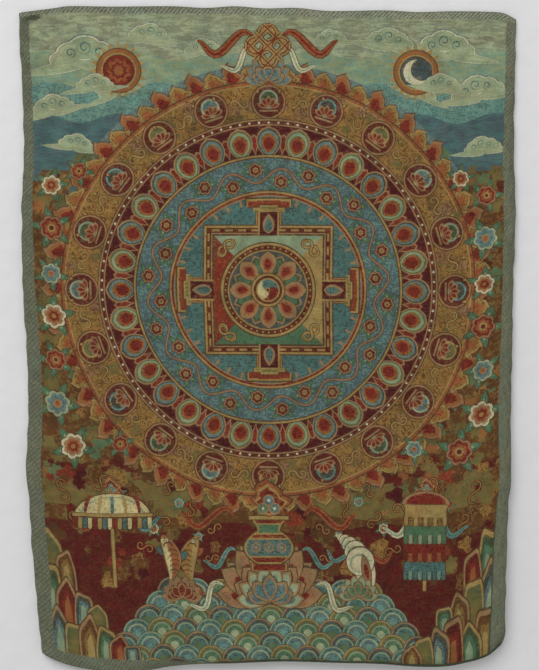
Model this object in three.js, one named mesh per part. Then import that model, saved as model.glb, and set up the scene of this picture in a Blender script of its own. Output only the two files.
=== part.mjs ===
// A small brocade thangka, hung by its top edge: one woven cloth with a twill margin and soft turned hems.
// Millimetres, +Z up. The face looks along -Y, so what holds the cloth is behind it, at +Y.
// The origin is the middle of the top edge, in the middle of the cloth's thickness.

import * as THREE from "three";

const { clamp, degToRad, lerp, smoothstep } = THREE.MathUtils;

// ---- Driving sizes ----

const CUT_WIDTH = 300; // side to side, along the top edge
const CLOTH_THICKNESS = 1.2;
const TOP_BAND = 14; // drop of the flat band by which the cloth is held
const HEM_CURL = 12; // length of cloth that curls back along the lower edge
const SIDE_ROLL_WIDTH = 4; // strip along each side that leans back
const SIDE_ROLL_DEPTH = 1.5; // how far its very edge leans back
const FOLD_FADE = 45; // drop below the flat band over which the folds come in

// ---- How the cloth hangs ----

// "across" is a place on the flat cloth, measured to the right from its middle line.
// "drop" is how far below the origin a place hangs.

// The top edge, which dips at its two corners and sags a little on the right.
const TOP_EDGE = [
  { across: -150, drop: 5.5 },
  { across: -143, drop: 3 },
  { across: -121, drop: 0 },
  { across: -46, drop: 0 },
  { across: 0, drop: 0 },
  { across: 38, drop: 2.5 },
  { across: 98, drop: 3.5 },
  { across: 143, drop: 3.5 },
  { across: 150, drop: 7.5 },
];

// The two side edges, which draw in towards the lower edge.
const SIDE_EDGES = [
  { drop: 0, left: -149, right: 150 },
  { drop: 15, left: -150, right: 150 },
  { drop: 50, left: -148.5, right: 150 },
  { drop: 88, left: -147.5, right: 150 },
  { drop: 122, left: -150, right: 151 },
  { drop: 168, left: -149, right: 150 },
  { drop: 215, left: -147, right: 150 },
  { drop: 258, left: -146.5, right: 149.5 },
  { drop: 284, left: -148.5, right: 150.5 },
  { drop: 320, left: -145.5, right: 148 },
  { drop: 360, left: -143, right: 147 },
  { drop: 406, left: -139, right: 147.5 },
];

// The lower edge: its drop, and how far its hem has curled back, in degrees.
const LOWER_EDGE = [
  { across: -150, drop: 396.5, curl: 20 },
  { across: -142, drop: 400.5, curl: 15 },
  { across: -131, drop: 404.5, curl: 15 },
  { across: -111, drop: 406, curl: 15 },
  { across: -88, drop: 405.5, curl: 25 },
  { across: -66, drop: 403, curl: 55 },
  { across: -32, drop: 401.5, curl: 90 },
  { across: 0, drop: 401, curl: 100 },
  { across: 43, drop: 401.5, curl: 105 },
  { across: 87, drop: 403, curl: 100 },
  { across: 121, drop: 400.5, curl: 95 },
  { across: 140, drop: 396.5, curl: 85 },
  { across: 150, drop: 391, curl: 60 },
];

// How far the cloth stands forward of its flat band, at its sides and in its middle.
const BOW = [
  { drop: 14, left: 0, middle: 0, right: 0 },
  { drop: 60, left: 2, middle: 2.5, right: 2 },
  { drop: 150, left: 3, middle: 5, right: 3.5 },
  { drop: 250, left: 3.5, middle: 6.5, right: 4.5 },
  { drop: 330, left: 4, middle: 8.5, right: 7 },
  { drop: 407, left: 5, middle: 11, right: 10.5 },
];

// Soft ridges (forward is positive) and troughs (negative), each along a line on the hanging cloth.
const FOLDS = [
  { name: "drag from left corner", across1: -138, drop1: 20, across2: -70, drop2: 150, width: 15, forward: 1.2 },
  { name: "drag from right corner", across1: 140, drop1: 22, across2: 75, drop2: 170, width: 16, forward: 1.1 },
  { name: "left edge wave", across1: -150, drop1: 286, across2: -95, drop2: 262, width: 17, forward: 2.2 },
  { name: "left edge hollow", across1: -150, drop1: 240, across2: -110, drop2: 232, width: 16, forward: -1.6 },
  { name: "upper left wave", across1: -150, drop1: 118, across2: -112, drop2: 124, width: 16, forward: 1.4 },
  { name: "right edge wave", across1: 150, drop1: 282, across2: 100, drop2: 300, width: 18, forward: 1.8 },
  { name: "right edge dent", across1: 150, drop1: 168, across2: 118, drop2: 172, width: 12, forward: -1.2 },
  { name: "middle hollow", across1: -30, drop1: 210, across2: 10, drop2: 385, width: 24, forward: -1.8 },
  { name: "lower left swell", across1: -105, drop1: 330, across2: -80, drop2: 400, width: 24, forward: 2.4 },
  { name: "lower left hollow", across1: -140, drop1: 350, across2: -128, drop2: 400, width: 12, forward: -1.5 },
  { name: "lower right swell", across1: 80, drop1: 320, across2: 98, drop2: 395, width: 26, forward: 1.6 },
];

// ---- Mesh steps ----

const INNER_COLUMNS = 22; // across, between the two rolled strips
const ROLL_COLUMNS = 3; // across each rolled strip
const HANGING_ROWS = 30; // down, between the flat band and the curled hem
const CURL_ROWS = 6; // around the curled hem

// ---- Reading the tables ----

// A value between two rows of a table, on one smooth curve through all its rows.
function between(rows, key, column, at) {
  const last = rows.length - 1;
  let i = 0;
  while (i < last - 1 && rows[i + 1][key] < at) i += 1;
  const slope = (k) => {
    const before = rows[Math.max(k - 1, 0)];
    const after = rows[Math.min(k + 1, last)];
    return (after[column] - before[column]) / (after[key] - before[key]);
  };
  const span = rows[i + 1][key] - rows[i][key];
  const t = clamp((at - rows[i][key]) / span, 0, 1);
  const rise = smoothstep(t, 0, 1);
  const leave = t * (1 - t) * (1 - t) * span * slope(i);
  const arrive = t * t * (1 - t) * span * slope(i + 1);
  return lerp(rows[i][column], rows[i + 1][column], rise) + leave - arrive;
}

// How far a place on the cloth stands forward of the flat band.
function forwardAt(across, drop) {
  const side = across < 0 ? "left" : "right";
  const edgeShare = Math.pow(Math.abs(across) / (CUT_WIDTH / 2), 2);
  const bow = lerp(between(BOW, "drop", "middle", drop), between(BOW, "drop", side, drop), edgeShare);
  const folds = FOLDS.reduce((sum, fold) => sum + foldAt(fold, across, drop), 0);
  const roll = SIDE_ROLL_DEPTH * Math.pow(clamp(1 - edgeDistance(across) / SIDE_ROLL_WIDTH, 0, 1), 2);
  return bow + (folds - roll) * smoothstep(drop, TOP_BAND, TOP_BAND + FOLD_FADE);
}

function foldAt(fold, across, drop) {
  const place = new THREE.Vector3(across, drop, 0);
  const start = new THREE.Vector3(fold.across1, fold.drop1, 0);
  const end = new THREE.Vector3(fold.across2, fold.drop2, 0);
  const nearest = new THREE.Line3(start, end).closestPointToPoint(place, true, new THREE.Vector3());
  return fold.forward * Math.exp(-Math.pow(place.distanceTo(nearest) / fold.width, 2));
}

function edgeDistance(across) {
  return CUT_WIDTH / 2 - Math.abs(across);
}

// ---- The middle surface of the cloth ----

// across: place on the flat cloth. down: 0 at the top edge, 1 at the end of the flat band,
// 2 where the hem starts to curl and 3 at the cut edge of the hem.
function surfacePoint(across, down) {
  const curl = degToRad(between(LOWER_EDGE, "across", "curl", across));
  const radius = HEM_CURL / curl;
  const lowest = between(LOWER_EDGE, "across", "drop", across);
  const curlStart = lowest - radius * Math.sin(Math.min(curl, Math.PI / 2));
  const topDrop = between(TOP_EDGE, "across", "drop", across);

  const hanging = Math.min(down, 2);
  const turned = curl * clamp(down - 2, 0, 1);
  const hangingDrop =
    hanging < 1 ? lerp(topDrop, TOP_BAND, hanging) : lerp(TOP_BAND, curlStart, hanging - 1);
  const drop = hangingDrop + radius * Math.sin(turned);
  const forward = forwardAt(across, hangingDrop) - radius * (1 - Math.cos(turned));

  const share = across / CUT_WIDTH + 0.5;
  const left = between(SIDE_EDGES, "drop", "left", drop);
  const right = between(SIDE_EDGES, "drop", "right", drop);
  return new THREE.Vector3(lerp(left, right, share), -forward, -drop);
}

// The direction in which the cloth's face looks there.
function faceDirection(across, down) {
  const step = 0.01;
  const low = Math.max(down - step, 0);
  const high = Math.min(down + step, 3);
  const sideways = surfacePoint(Math.min(across + 1, CUT_WIDTH / 2), down)
    .sub(surfacePoint(Math.max(across - 1, -CUT_WIDTH / 2), down));
  const downwards = surfacePoint(across, high).sub(surfacePoint(across, low));
  return downwards.cross(sideways).normalize();
}

// ---- The closed sheet ----

function columnPlaces() {
  const half = CUT_WIDTH / 2;
  const inner = half - SIDE_ROLL_WIDTH;
  const places = [];
  for (let i = 0; i < ROLL_COLUMNS; i += 1) places.push(-half + (SIDE_ROLL_WIDTH * i) / ROLL_COLUMNS);
  for (let i = 0; i <= INNER_COLUMNS; i += 1) places.push(lerp(-inner, inner, i / INNER_COLUMNS));
  for (let i = 1; i <= ROLL_COLUMNS; i += 1) places.push(inner + (SIDE_ROLL_WIDTH * i) / ROLL_COLUMNS);
  return places;
}

function rowPlaces() {
  const places = [0, 1];
  for (let i = 1; i <= HANGING_ROWS; i += 1) places.push(1 + i / HANGING_ROWS);
  for (let i = 1; i <= CURL_ROWS; i += 1) places.push(2 + i / CURL_ROWS);
  return places;
}

function sheetGeometry() {
  const columns = columnPlaces();
  const rows = rowPlaces();
  const positions = [];
  for (const side of [1, -1]) {
    for (const down of rows) {
      for (const across of columns) {
        const offset = faceDirection(across, down).multiplyScalar((side * CLOTH_THICKNESS) / 2);
        positions.push(...surfacePoint(across, down).add(offset).toArray());
      }
    }
  }

  const faceVertex = (row, column) => row * columns.length + column;
  const backVertex = (row, column) => faceVertex(row, column) + rows.length * columns.length;
  const indices = [];
  const quad = (a, b, c, d) => indices.push(a, b, c, a, c, d);
  const lastRow = rows.length - 1;
  const lastColumn = columns.length - 1;
  for (let r = 0; r < lastRow; r += 1) {
    for (let c = 0; c < lastColumn; c += 1) {
      quad(faceVertex(r, c), faceVertex(r + 1, c), faceVertex(r + 1, c + 1), faceVertex(r, c + 1));
      quad(backVertex(r, c), backVertex(r, c + 1), backVertex(r + 1, c + 1), backVertex(r + 1, c));
    }
  }
  for (let r = 0; r < lastRow; r += 1) {
    quad(faceVertex(r, 0), backVertex(r, 0), backVertex(r + 1, 0), faceVertex(r + 1, 0));
    quad(faceVertex(r, lastColumn), faceVertex(r + 1, lastColumn), backVertex(r + 1, lastColumn),
      backVertex(r, lastColumn));
  }
  for (let c = 0; c < lastColumn; c += 1) {
    quad(faceVertex(0, c), faceVertex(0, c + 1), backVertex(0, c + 1), backVertex(0, c));
    quad(faceVertex(lastRow, c), backVertex(lastRow, c), backVertex(lastRow, c + 1),
      faceVertex(lastRow, c + 1));
  }

  const geometry = new THREE.BufferGeometry();
  geometry.setAttribute("position", new THREE.Float32BufferAttribute(positions, 3));
  geometry.setIndex(indices);
  geometry.computeVertexNormals();
  return geometry;
}

// ---- The part ----

const brocade = new THREE.MeshStandardMaterial({ color: "#6a5239", roughness: 0.9, metalness: 0 });

const cloth = new THREE.Mesh(sheetGeometry(), brocade);
cloth.name = "thangka_cloth";

const thangka = new THREE.Group();
thangka.name = "thangka";
thangka.add(cloth);

export default thangka;
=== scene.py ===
# %% [markdown]
# # A small brocade thangka, hung by its top edge
#
# A brocade thangka is a hanging picture that a jacquard loom weaves in one go. Each place on it
# shows one of a few coloured yarns, and a second yarn peeps through between the floats. Round the
# picture runs a plain twill margin, whose edges are turned into a soft hem. This notebook hangs
# that cloth, draws a picture for it, weaves the picture into the mesh and gives it its yarns.
# An image on a flat sheet would be quicker, but its threads would blur up close. Yarns that are cut
# into the mesh stay sharp, and a rule for each motif keeps the drawing easy to change.

# %% Tools
import cmath
import heapq
import math
import random

import bpy
import numpy as np
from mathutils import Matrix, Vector
from mathutils.bvhtree import BVHTree
from mathutils.geometry import delaunay_2d_cdt


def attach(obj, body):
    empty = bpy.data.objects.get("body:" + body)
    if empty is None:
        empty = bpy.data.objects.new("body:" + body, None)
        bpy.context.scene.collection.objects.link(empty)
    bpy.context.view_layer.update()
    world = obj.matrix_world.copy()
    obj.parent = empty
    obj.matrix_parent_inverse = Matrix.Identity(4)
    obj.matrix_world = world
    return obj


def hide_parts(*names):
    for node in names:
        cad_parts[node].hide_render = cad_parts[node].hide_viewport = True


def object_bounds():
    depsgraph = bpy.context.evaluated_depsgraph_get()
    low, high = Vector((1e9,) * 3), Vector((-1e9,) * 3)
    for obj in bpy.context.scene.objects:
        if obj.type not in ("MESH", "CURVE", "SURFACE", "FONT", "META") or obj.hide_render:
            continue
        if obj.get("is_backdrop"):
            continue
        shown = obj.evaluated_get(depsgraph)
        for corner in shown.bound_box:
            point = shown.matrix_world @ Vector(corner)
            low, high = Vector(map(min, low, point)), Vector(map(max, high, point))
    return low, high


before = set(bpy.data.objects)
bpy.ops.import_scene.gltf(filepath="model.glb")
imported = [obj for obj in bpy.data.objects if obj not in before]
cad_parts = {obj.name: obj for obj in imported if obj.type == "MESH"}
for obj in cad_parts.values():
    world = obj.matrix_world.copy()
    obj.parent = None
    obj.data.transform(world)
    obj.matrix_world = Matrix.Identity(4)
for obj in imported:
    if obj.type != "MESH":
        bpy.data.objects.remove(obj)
cad_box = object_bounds()
print("the solid's box, in metres:", [[round(x, 4) for x in corner] for corner in cad_box])

# %% [markdown]
# ## The flat cloth and how it hangs
#
# The cloth is measured flat first, in millimetres, as its maker would: `across` to the right of
# its middle line and `down` from its top edge. Hanging it is a matter of a few short tables. They
# say where its edges hang, how far it bows forward of what holds it, and where its soft ridges and
# troughs lie. A simulation would give a generic drape. Tables give this cloth's own.

# %% The flat cloth
MM = 0.001
CUT_WIDTH, CUT_HEIGHT = 300.0, 407.0
CLOTH_THICKNESS, HEM_THICKNESS = 0.9, 1.5
TOP_BAND = 14.0  # drop of the flat band by which the cloth is held
HEM_CURL = 12.0  # length of cloth that curls back along the lower edge
SIDE_ROLL_WIDTH, SIDE_ROLL_DEPTH = 4.0, 1.5
FOLD_FADE = 45.0  # drop below the flat band over which the folds come in
print(f"{CUT_WIDTH * CUT_HEIGHT / 1e6:.3f} square metres of cloth")

# %% The tables of the hanging cloth
TOP_EDGE = {
    "across": (-150, -143, -130, -122, -94, -57, -38, -20, -2, 17, 36, 72, 91, 110, 136, 143, 150),
    "drop": (3.8, 2.8, 1.2, 0, 0.2, 0, 1, 0, 1.3, 1, 2.8, 2.5, 3.5, 3, 3.4, 4.2, 7.4),
}
SIDE_EDGES = {
    "drop": (0, 15, 50, 88, 122, 168, 215, 258, 284, 300, 320, 360, 406),
    "left": (-149.6, -150, -148.5, -147.8, -149.2, -149.3, -146.9, -147, -147.8, -146.2, -145.6, -142.6,
             -138.6),
    "right": (151, 150.6, 150.2, 150, 151.3, 150.4, 149.8, 149.4, 149.5, 148.4, 147.6, 146.6, 146),
}
LOWER_EDGE = {
    "across": (-150, -142, -131, -111, -88, -66, -32, 0, 43, 72, 91, 110, 121, 140, 150),
    "drop": (396, 399.6, 403.2, 405.2, 405, 402.7, 401.5, 400.4, 400.8, 401.3, 402.6, 403, 401.8, 397, 389),
    "curl": (20, 15, 15, 15, 25, 55, 90, 100, 105, 103, 100, 97, 95, 85, 60),
}
EDGE_REACH = 0.75  # how far the half-round edge stands out past the grid's last line
BOW = {
    "drop": (14, 60, 150, 250, 330, 407),
    "left": (0, 2, 3, 3.5, 4, 5),
    "middle": (0, 2.5, 5, 6.5, 8.5, 11),
    "right": (0, 2, 3.5, 4.5, 7, 10.5),
}
# Each fold: across and drop of its two ends, its width, and how far forward it stands.
FOLDS = {
    "drag from left corner": (-138, 20, -70, 150, 15, 1.2),
    "drag from right corner": (140, 22, 75, 170, 16, 1.1),
    "left edge wave": (-150, 286, -95, 262, 17, 2.2),
    "left edge hollow": (-150, 240, -110, 232, 16, -1.6),
    "upper left wave": (-150, 118, -112, 124, 16, 1.4),
    "right edge wave": (150, 282, 100, 300, 18, 1.8),
    "right edge dent": (150, 168, 118, 172, 12, -1.2),
    "middle hollow": (-30, 210, 10, 385, 24, -1.8),
    "lower left swell": (-105, 330, -80, 400, 24, 2.4),
    "lower left hollow": (-140, 350, -128, 400, 12, -1.5),
    "lower right swell": (80, 320, 98, 395, 26, 1.6),
}
print(f"a cloth of {CUT_WIDTH:g} by {CUT_HEIGHT:g} mm with {len(FOLDS)} folds")

# %% [markdown]
# ## The yarns and the weaves
#
# The loom holds some two dozen dull, slightly faded yarns. A weave names the yarn that floats on
# top, the one that peeps through, the way in which it does, and how much of it shows. One material
# then serves all the weaves, where a material for each would fill the file with near copies.

# %% The yarns
YARNS = {
    "maroon": "4e1616", "wine": "431417", "brick": "6e291d", "rust": "875130", "blush": "88684c",
    "umber": "483725", "brown": "56361d", "ochre": "745b31", "gold": "8c6c3b", "straw": "927c4d",
    "cream": "b8aa7e", "pearl": "bcb394", "olive": "645d36", "moss": "515538", "forest": "36412f",
    "jade": "4b694e", "teal": "476763", "aqua": "658478", "denim": "465459", "slate": "3c403a",
    "sky": "54686b", "sage": "808a6a", "mist": "91997b",
    # The last colour below is no yarn but the colour of painted shade near the top left corner.
    "reed": "6f725f", "reed highlight": "8e917e", "reed dark": "54574a", "painted_shade": "383b32",
}
print(f"{len(YARNS)} yarns")

# %% The patterns
# How strongly each pattern's second yarn shows through the first.
PATTERNS = {
    "plain": 0.8, "filigree": 0.9, "dapple": 0.72, "fleck": 0.7, "cloud": 0.75, "course": 0.8, "twill": 0.9,
}
print(f"{len(PATTERNS)} patterns")

# %% The weaves
# Each weave: the yarn on top, the one that peeps through, the pattern, and the share of the second.
WEAVES = {
    # The margin comes in three copies: the left one darker as painted shade, and the top one lighter as
    # painted highlight, where the top hem faces the light.
    "margin": ("reed", "reed dark", "twill", 0.46),
    "margin left shade": ("reed", "reed dark", "twill", 0.6),
    "margin top highlight": ("reed highlight", "reed dark", "twill", 0.5),
    "maroon": ("maroon", "brown", "plain", 0.25),
    "maroon floats": ("maroon", "brick", "fleck", 0.35),
    "wine": ("wine", "maroon", "plain", 0.2),
    "brick": ("brick", "maroon", "plain", 0.25),
    "brick floats": ("brick", "rust", "fleck", 0.3),
    "rust": ("rust", "brick", "plain", 0.2),
    "rust gold": ("rust", "ochre", "dapple", 0.4),
    "blush": ("blush", "rust", "plain", 0.15),
    "umber": ("umber", "brown", "plain", 0.25),
    "brown": ("brown", "umber", "plain", 0.3),
    "brown dapple": ("brown", "ochre", "dapple", 0.35),
    "filigree": ("gold", "brown", "filigree", 0.42),
    "filigree rose": ("blush", "brown", "filigree", 0.48),
    "filigree dark": ("ochre", "umber", "filigree", 0.5),
    "filigree red": ("ochre", "maroon", "filigree", 0.5),
    "filigree green": ("ochre", "moss", "filigree", 0.45),
    "gold": ("gold", "ochre", "plain", 0.25),
    "gold line": ("straw", "gold", "plain", 0.25),
    "ochre": ("ochre", "brown", "plain", 0.2),
    "straw": ("straw", "gold", "plain", 0.2),
    "cream": ("cream", "straw", "plain", 0.2),
    "cream line": ("blush", "straw", "plain", 0.3),
    "pearl": ("pearl", "sage", "plain", 0.15),
    "olive": ("olive", "moss", "plain", 0.25),
    "olive dapple": ("olive", "ochre", "dapple", 0.45),
    "courses": ("olive", "straw", "course", 0.35),
    "moss": ("moss", "olive", "dapple", 0.45),
    "forest": ("forest", "moss", "plain", 0.25),
    "jade": ("jade", "forest", "fleck", 0.3),
    "jade olive": ("jade", "olive", "dapple", 0.45),
    "teal": ("teal", "slate", "plain", 0.28),
    "teal light": ("aqua", "teal", "plain", 0.35),
    "denim": ("denim", "aqua", "plain", 0.34),
    "denim dark": ("slate", "denim", "plain", 0.3),
    "slate": ("slate", "umber", "plain", 0.25),
    "sky": ("sky", "sage", "fleck", 0.32),
    "sage": ("sage", "aqua", "fleck", 0.35),
    "mist": ("mist", "sage", "cloud", 0.4),
    "pale sky": ("mist", "reed", "cloud", 0.56),
    "haze": ("sage", "aqua", "cloud", 0.45),
    "dusk": ("denim", "teal", "cloud", 0.5),
}
print(f"{len(YARNS)} yarns in {len(WEAVES)} weaves")

# %% [markdown]
# ## Drawing for the loom
#
# The picture is a list of outlines, painted one over the other as with a brush, each in a named
# weave. A point is a complex number, in millimetres: the real part runs to the right and the
# imaginary part up, so that a product turns and sizes a shape and a sum moves it. Every shape is
# drawn once, pointing up, by a rule. Loops then repeat it round a ring or along a row.

# %% The picture
picture = []


def paint(weave, outline):
    """Adds an outline to the picture, on top of what is there."""
    picture.append((outline, weave))


def tell(what):
    print(f"{what}: {len(picture)} outlines so far")


def moved(point, at=0j, turn=0.0, size=1.0, flip=False):
    """The point mirrored, if it is to be, then sized, turned and moved."""
    return at + cmath.rect(size, math.radians(turn)) * (-point.conjugate() if flip else point)


def placed(shape, at=0j, turn=0.0, size=1.0, flip=False):
    return [moved(point, at, turn, size, flip) for point in shape]


def nested(weaves_and_sizes, shape, at=0j, turn=0.0, centre=0j):
    """One shape inside another, each smaller about the shape's own centre and in its own weave."""
    for weave, size in weaves_and_sizes:
        paint(weave, placed([centre + (p - centre) * size for p in shape], at, turn))


def round_places(at, radius, count, start=90.0):
    """Places round a circle, each with the turn that points a shape outwards there."""
    for k in range(count):
        angle = start + 360 * k / count
        yield at + cmath.rect(radius, math.radians(angle)), angle - 90


# %% Round and pointed outlines
DISC_STEP, FEWEST_SIDES, MOST_SIDES = 1.3, 9, 24  # a disc's steps, in millimetres, and their limits


def disc(at, radius):
    most = MOST_SIDES + round(radius * 2)
    sides = max(FEWEST_SIDES, min(round(math.tau * radius / DISC_STEP), most))
    return [at + cmath.rect(radius, math.tau * k / sides) for k in range(sides)]


def box(at, half_width, half_height):
    signs = ((-1, -1), (1, -1), (1, 1), (-1, 1))
    return [at + complex(x * half_width, y * half_height) for x, y in signs]


def dome(half_width, height, steps):
    """The upper half of an oval, from right to left."""
    angles = (math.pi * k / steps for k in range(steps + 1))
    return [complex(half_width * math.cos(a), height * math.sin(a)) for a in angles]


def petal(length, width, belly=0.5, fullness=0.8, steps=7):
    """A pointed form that is widest at belly of its length. It starts at 0 and points up."""
    bend = math.log(0.5) / math.log(belly)
    sides = [k / steps for k in range(1, steps)]
    right = [complex(width / 2 * math.sin(math.pi * t**bend) ** fullness, length * t) for t in sides]
    return [0j] + right + [length * 1j] + [-p.conjugate() for p in reversed(right)]


def lobed(radius, lobes, depth=0.2, steps=4):
    """A round form with a scalloped edge."""
    count = lobes * steps
    swell = [1 - depth + depth * abs(math.sin(math.pi * k / steps)) for k in range(count)]
    return [cmath.rect(radius * swell[k], math.tau * k / count) for k in range(count)]


print(f"a disc 10 mm across has {len(disc(0j, 5.0))} sides, a petal {len(petal(5.0, 2.0))}")

# %% Lines and curls
def ribbon(path, width, taper=False):
    """A strip along a path, of one width or running out to nothing at both ends."""
    last = len(path) - 1
    left, right = [], []
    for k, p in enumerate(path):
        ahead = path[min(k + 1, last)] - path[max(k - 1, 0)]
        share = math.sin(math.pi * (k + 0.6) / (last + 1.2)) ** 0.7 if taper else 1
        side = 1j * ahead / abs(ahead) * width * share / 2
        left.append(p + side)
        right.append(p - side)
    return left + right[::-1]


def curl_path(size, turns=1.2, steps=11):
    """A path from 0 that sets off to the right and winds up into a curl."""
    return [
        size * 1j + cmath.rect(size * (1 - 0.8 * k / steps), math.tau * (turns * k / steps - 0.25))
        for k in range(steps + 1)
    ]


def scroll_path(size, turns=1.05):
    """Two curls that share one line, as in the letter S."""
    curl = curl_path(size, turns)
    return [-p for p in reversed(curl[1:])] + curl


def wave_path(start, end, rise, waves, steps=8):
    """A wavy line between two places."""
    count = round(waves * steps)
    side = (end - start) / abs(end - start) * 1j
    return [
        start + (end - start) * k / count + side * rise * math.sin(math.tau * waves * k / count)
        for k in range(count + 1)
    ]


def drawn_line(weaves_and_widths, path, at=0j, turn=0.0, flip=False, taper=False):
    """One line, painted as strips on top of each other, each in its own weave and width."""
    for weave, width in weaves_and_widths:
        paint(weave, placed(ribbon(path, width, taper), at, turn, 1, flip))


print(f"a curl 3 mm high is a path of {len(curl_path(1.5))} points")

# %% [markdown]
# ## Grounds: sky above, thickets at the sides, hills, a maroon earth and water below
#
# A brocade's grounds are never one yarn. Small patches of neighbouring weaves, laid like leaves,
# keep any one float from running too long. They could be placed by hand, but there are about a
# thousand of them. A seeded random stream places them, so that the same cloth comes out each time.

# %% Layers of sky, earth and hills
WHEEL_CENTRE = complex(0, -172)
WHEEL_RADIUS = 127.0
SKY_FOOT, EARTH_TOP, WATER_TOP = -100.0, -278.0, -352.0
HALF = CUT_WIDTH / 2
GROUND_INSET = 3.0  # how far the grounds stop short of the cloth's side edges


def stretch(low, high):
    """The picture's whole width between two heights."""
    return box(complex(0, (low + high) / 2), HALF - GROUND_INSET, (high - low) / 2)


def layers(foot, *weaves_and_lines):
    """Layers with a wavy upper edge, one in front of the other, all down to the same foot."""
    for weave, top, rise, waves in weaves_and_lines:
        skyline = wave_path(complex(-HALF, top), complex(HALF, top), rise, waves)
        paint(weave, skyline + [complex(HALF, foot), complex(-HALF, foot)])


paint("margin", box(complex(0, -CUT_HEIGHT / 2), HALF, CUT_HEIGHT / 2))
paint("pale sky", stretch(SKY_FOOT, 0))
layers(SKY_FOOT, ("haze", -30, 3, 5.5), ("teal light", -50, 4, 4.5), ("dusk", -68, 3, 6.5))
for weave, reach in (("sky", 10.0), ("teal", 6.0)):
    paint(weave, disc(WHEEL_CENTRE, WHEEL_RADIUS + reach))
paint("brown dapple", stretch(EARTH_TOP, SKY_FOOT))
paint("maroon", stretch(-CUT_HEIGHT, EARTH_TOP))
layers(WATER_TOP, ("filigree green", -286, 5, 2.5), ("olive dapple", -297, 4, 3.5),
       ("brown dapple", -308, 4, 2.5), ("maroon", -318, 4, 3.0))
tell("sky, earth and hills")


# %% Thickets
def patches(seed, count, low, high, weaves, across=(-HALF, HALF), sizes=(3, 9)):
    """Leaf-like patches, scattered over a stretch of the cloth between two heights."""
    chance = random.Random(seed)
    for _ in range(count):
        at = complex(chance.uniform(*across), chance.uniform(low, high))
        size = chance.uniform(*sizes)
        shape = [complex(p.real, p.imag * 0.8) for p in
                 lobed(size, chance.randint(3, 6), chance.uniform(0.25, 0.5), 3)]
        weave = chance.choice(weaves)
        paint(weave, placed(shape, at, chance.uniform(0, 360)))


THICKET = ("olive dapple", "brown dapple", "filigree green", "maroon", "filigree", "filigree red", "brown",
           "moss", "filigree dark", "olive dapple", "rust gold", "jade olive")
patches(3, 60, -112, -88, ("moss", "jade olive", "dusk", "filigree green"), sizes=(4, 8))
for side in (-1, 1):
    patches(5 + side, 210, -286, -104, THICKET, across=sorted((side * 146, side * 105)), sizes=(2.5, 7))
    patches(10 + side, 110, -292, -226, THICKET, across=sorted((side * 106, side * 44)), sizes=(2.5, 7))
EARTH = ("maroon floats", "wine", "brown dapple", "filigree red", "brick floats", "filigree", "olive dapple",
         "filigree dark", "brown")
patches(8, 150, -350, -284, EARTH, sizes=(3, 8))
tell("thickets")

# %% [markdown]
# ## Clouds
#
# A woven cloud is a heap of round lobes with a long tail and bands that follow its outline. Offset
# outlines would be one way. Painting all the lobes once for each band, from the outside in, needs
# none, and the bands then run round the whole heap instead of round every lobe.

# %% Clouds
# Each lobe: across, up and radius, as shares of the cloud's size. Each band: weave and share.
CLOUD_LOBES = ((-1.7, 0.0, 0.7), (-0.9, 0.45, 0.9), (0.15, 0.65, 1.1), (1.1, 0.3, 0.9), (1.9, -0.1, 0.6))
CLOUD_BANDS = (("sky", 1.1), ("pearl", 1.0), ("sage", 0.88), ("mist", 0.78), ("sage", 0.5), ("mist", 0.42))


def cloud(at, flip, size, turn):
    """A heap of lobes with two tails, and a curl on each of the middle lobes."""
    for weave, share in CLOUD_BANDS:
        tail = petal(5.2, 0.9 * share, 0.3)
        for shape, x, y, lean in ((tail, 0.3, -0.35, 96), (tail, -0.6, -0.6, -88)):
            paint(weave, placed(placed(shape, complex(x, y), lean), at, turn, size, flip))
        for x, y, radius in CLOUD_LOBES:
            shape = [complex(p.real * 1.1, p.imag * 0.82) for p in disc(0j, size * radius * share)]
            paint(weave, placed(placed(shape, size * complex(x, y)), at, turn, 1, flip))
    for x, y, radius in CLOUD_LOBES[1:4]:
        path = [p - 0.45j for p in curl_path(0.45 * radius, 1.3)]
        strip = placed(ribbon(path, 0.11, True), complex(x, y))
        paint("teal", placed(strip, at, turn, size, flip))


# Each cloud: across, up, size and turn.
LEFT_CLOUDS = ((-112, -31, 8.6, 6), (-72, -18, 5.2, -4), (-132, -62, 5.4, 12), (-118, -84, 4.4, -8),
               (-40, -26, 4.4, 8), (-92, -50, 5.0, 20))
RIGHT_CLOUDS = ((108, -26, 7.4, -4), (128, -52, 6.6, 10), (74, -22, 6.0, -8), (38, -20, 4.0, 4),
                (131, -86, 4.6, 6), (92, -52, 4.4, -18))
for x, y, size, turn in LEFT_CLOUDS + RIGHT_CLOUDS:
    cloud(complex(x, y), x > 0, size, turn)
tell("clouds")

# %% [markdown]
# ## The wheel
#
# The middle of the picture is a round mandala, a very old form: a ring of fire, a gold scrolled
# rim, a ring of lotus petals, a blue ring with a vine, and a square palace with four gates round a
# lotus and a hub. Each ring is a disc painted over the last, so no ring needs an inner edge, and
# what repeats in it is a loop over places.

# %% Ring of fire
def flame(height, width):
    """A pointed flame that leans a little, with a wavy edge."""
    steps = [k / 9 for k in range(1, 9)]
    edge = [width / 2 * math.sin(math.pi * t**0.75) * (1 + 0.22 * math.sin(19 * t)) for t in steps]
    lean = [width * 0.10 * math.sin(5 * t) for t in steps]
    right = [complex(s + e, height * t) for s, e, t in zip(lean, edge, steps)]
    left = [complex(s - e, height * t) for s, e, t in zip(lean, edge, steps)]
    return [0j] + right + [complex(0, height)] + left[::-1]


FLAMES, FLAME_WIDTH, FLAME_FOOT = 72, 12.5, WHEEL_RADIUS - 4
TALL, SHORT = 16.5, 13.5
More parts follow.
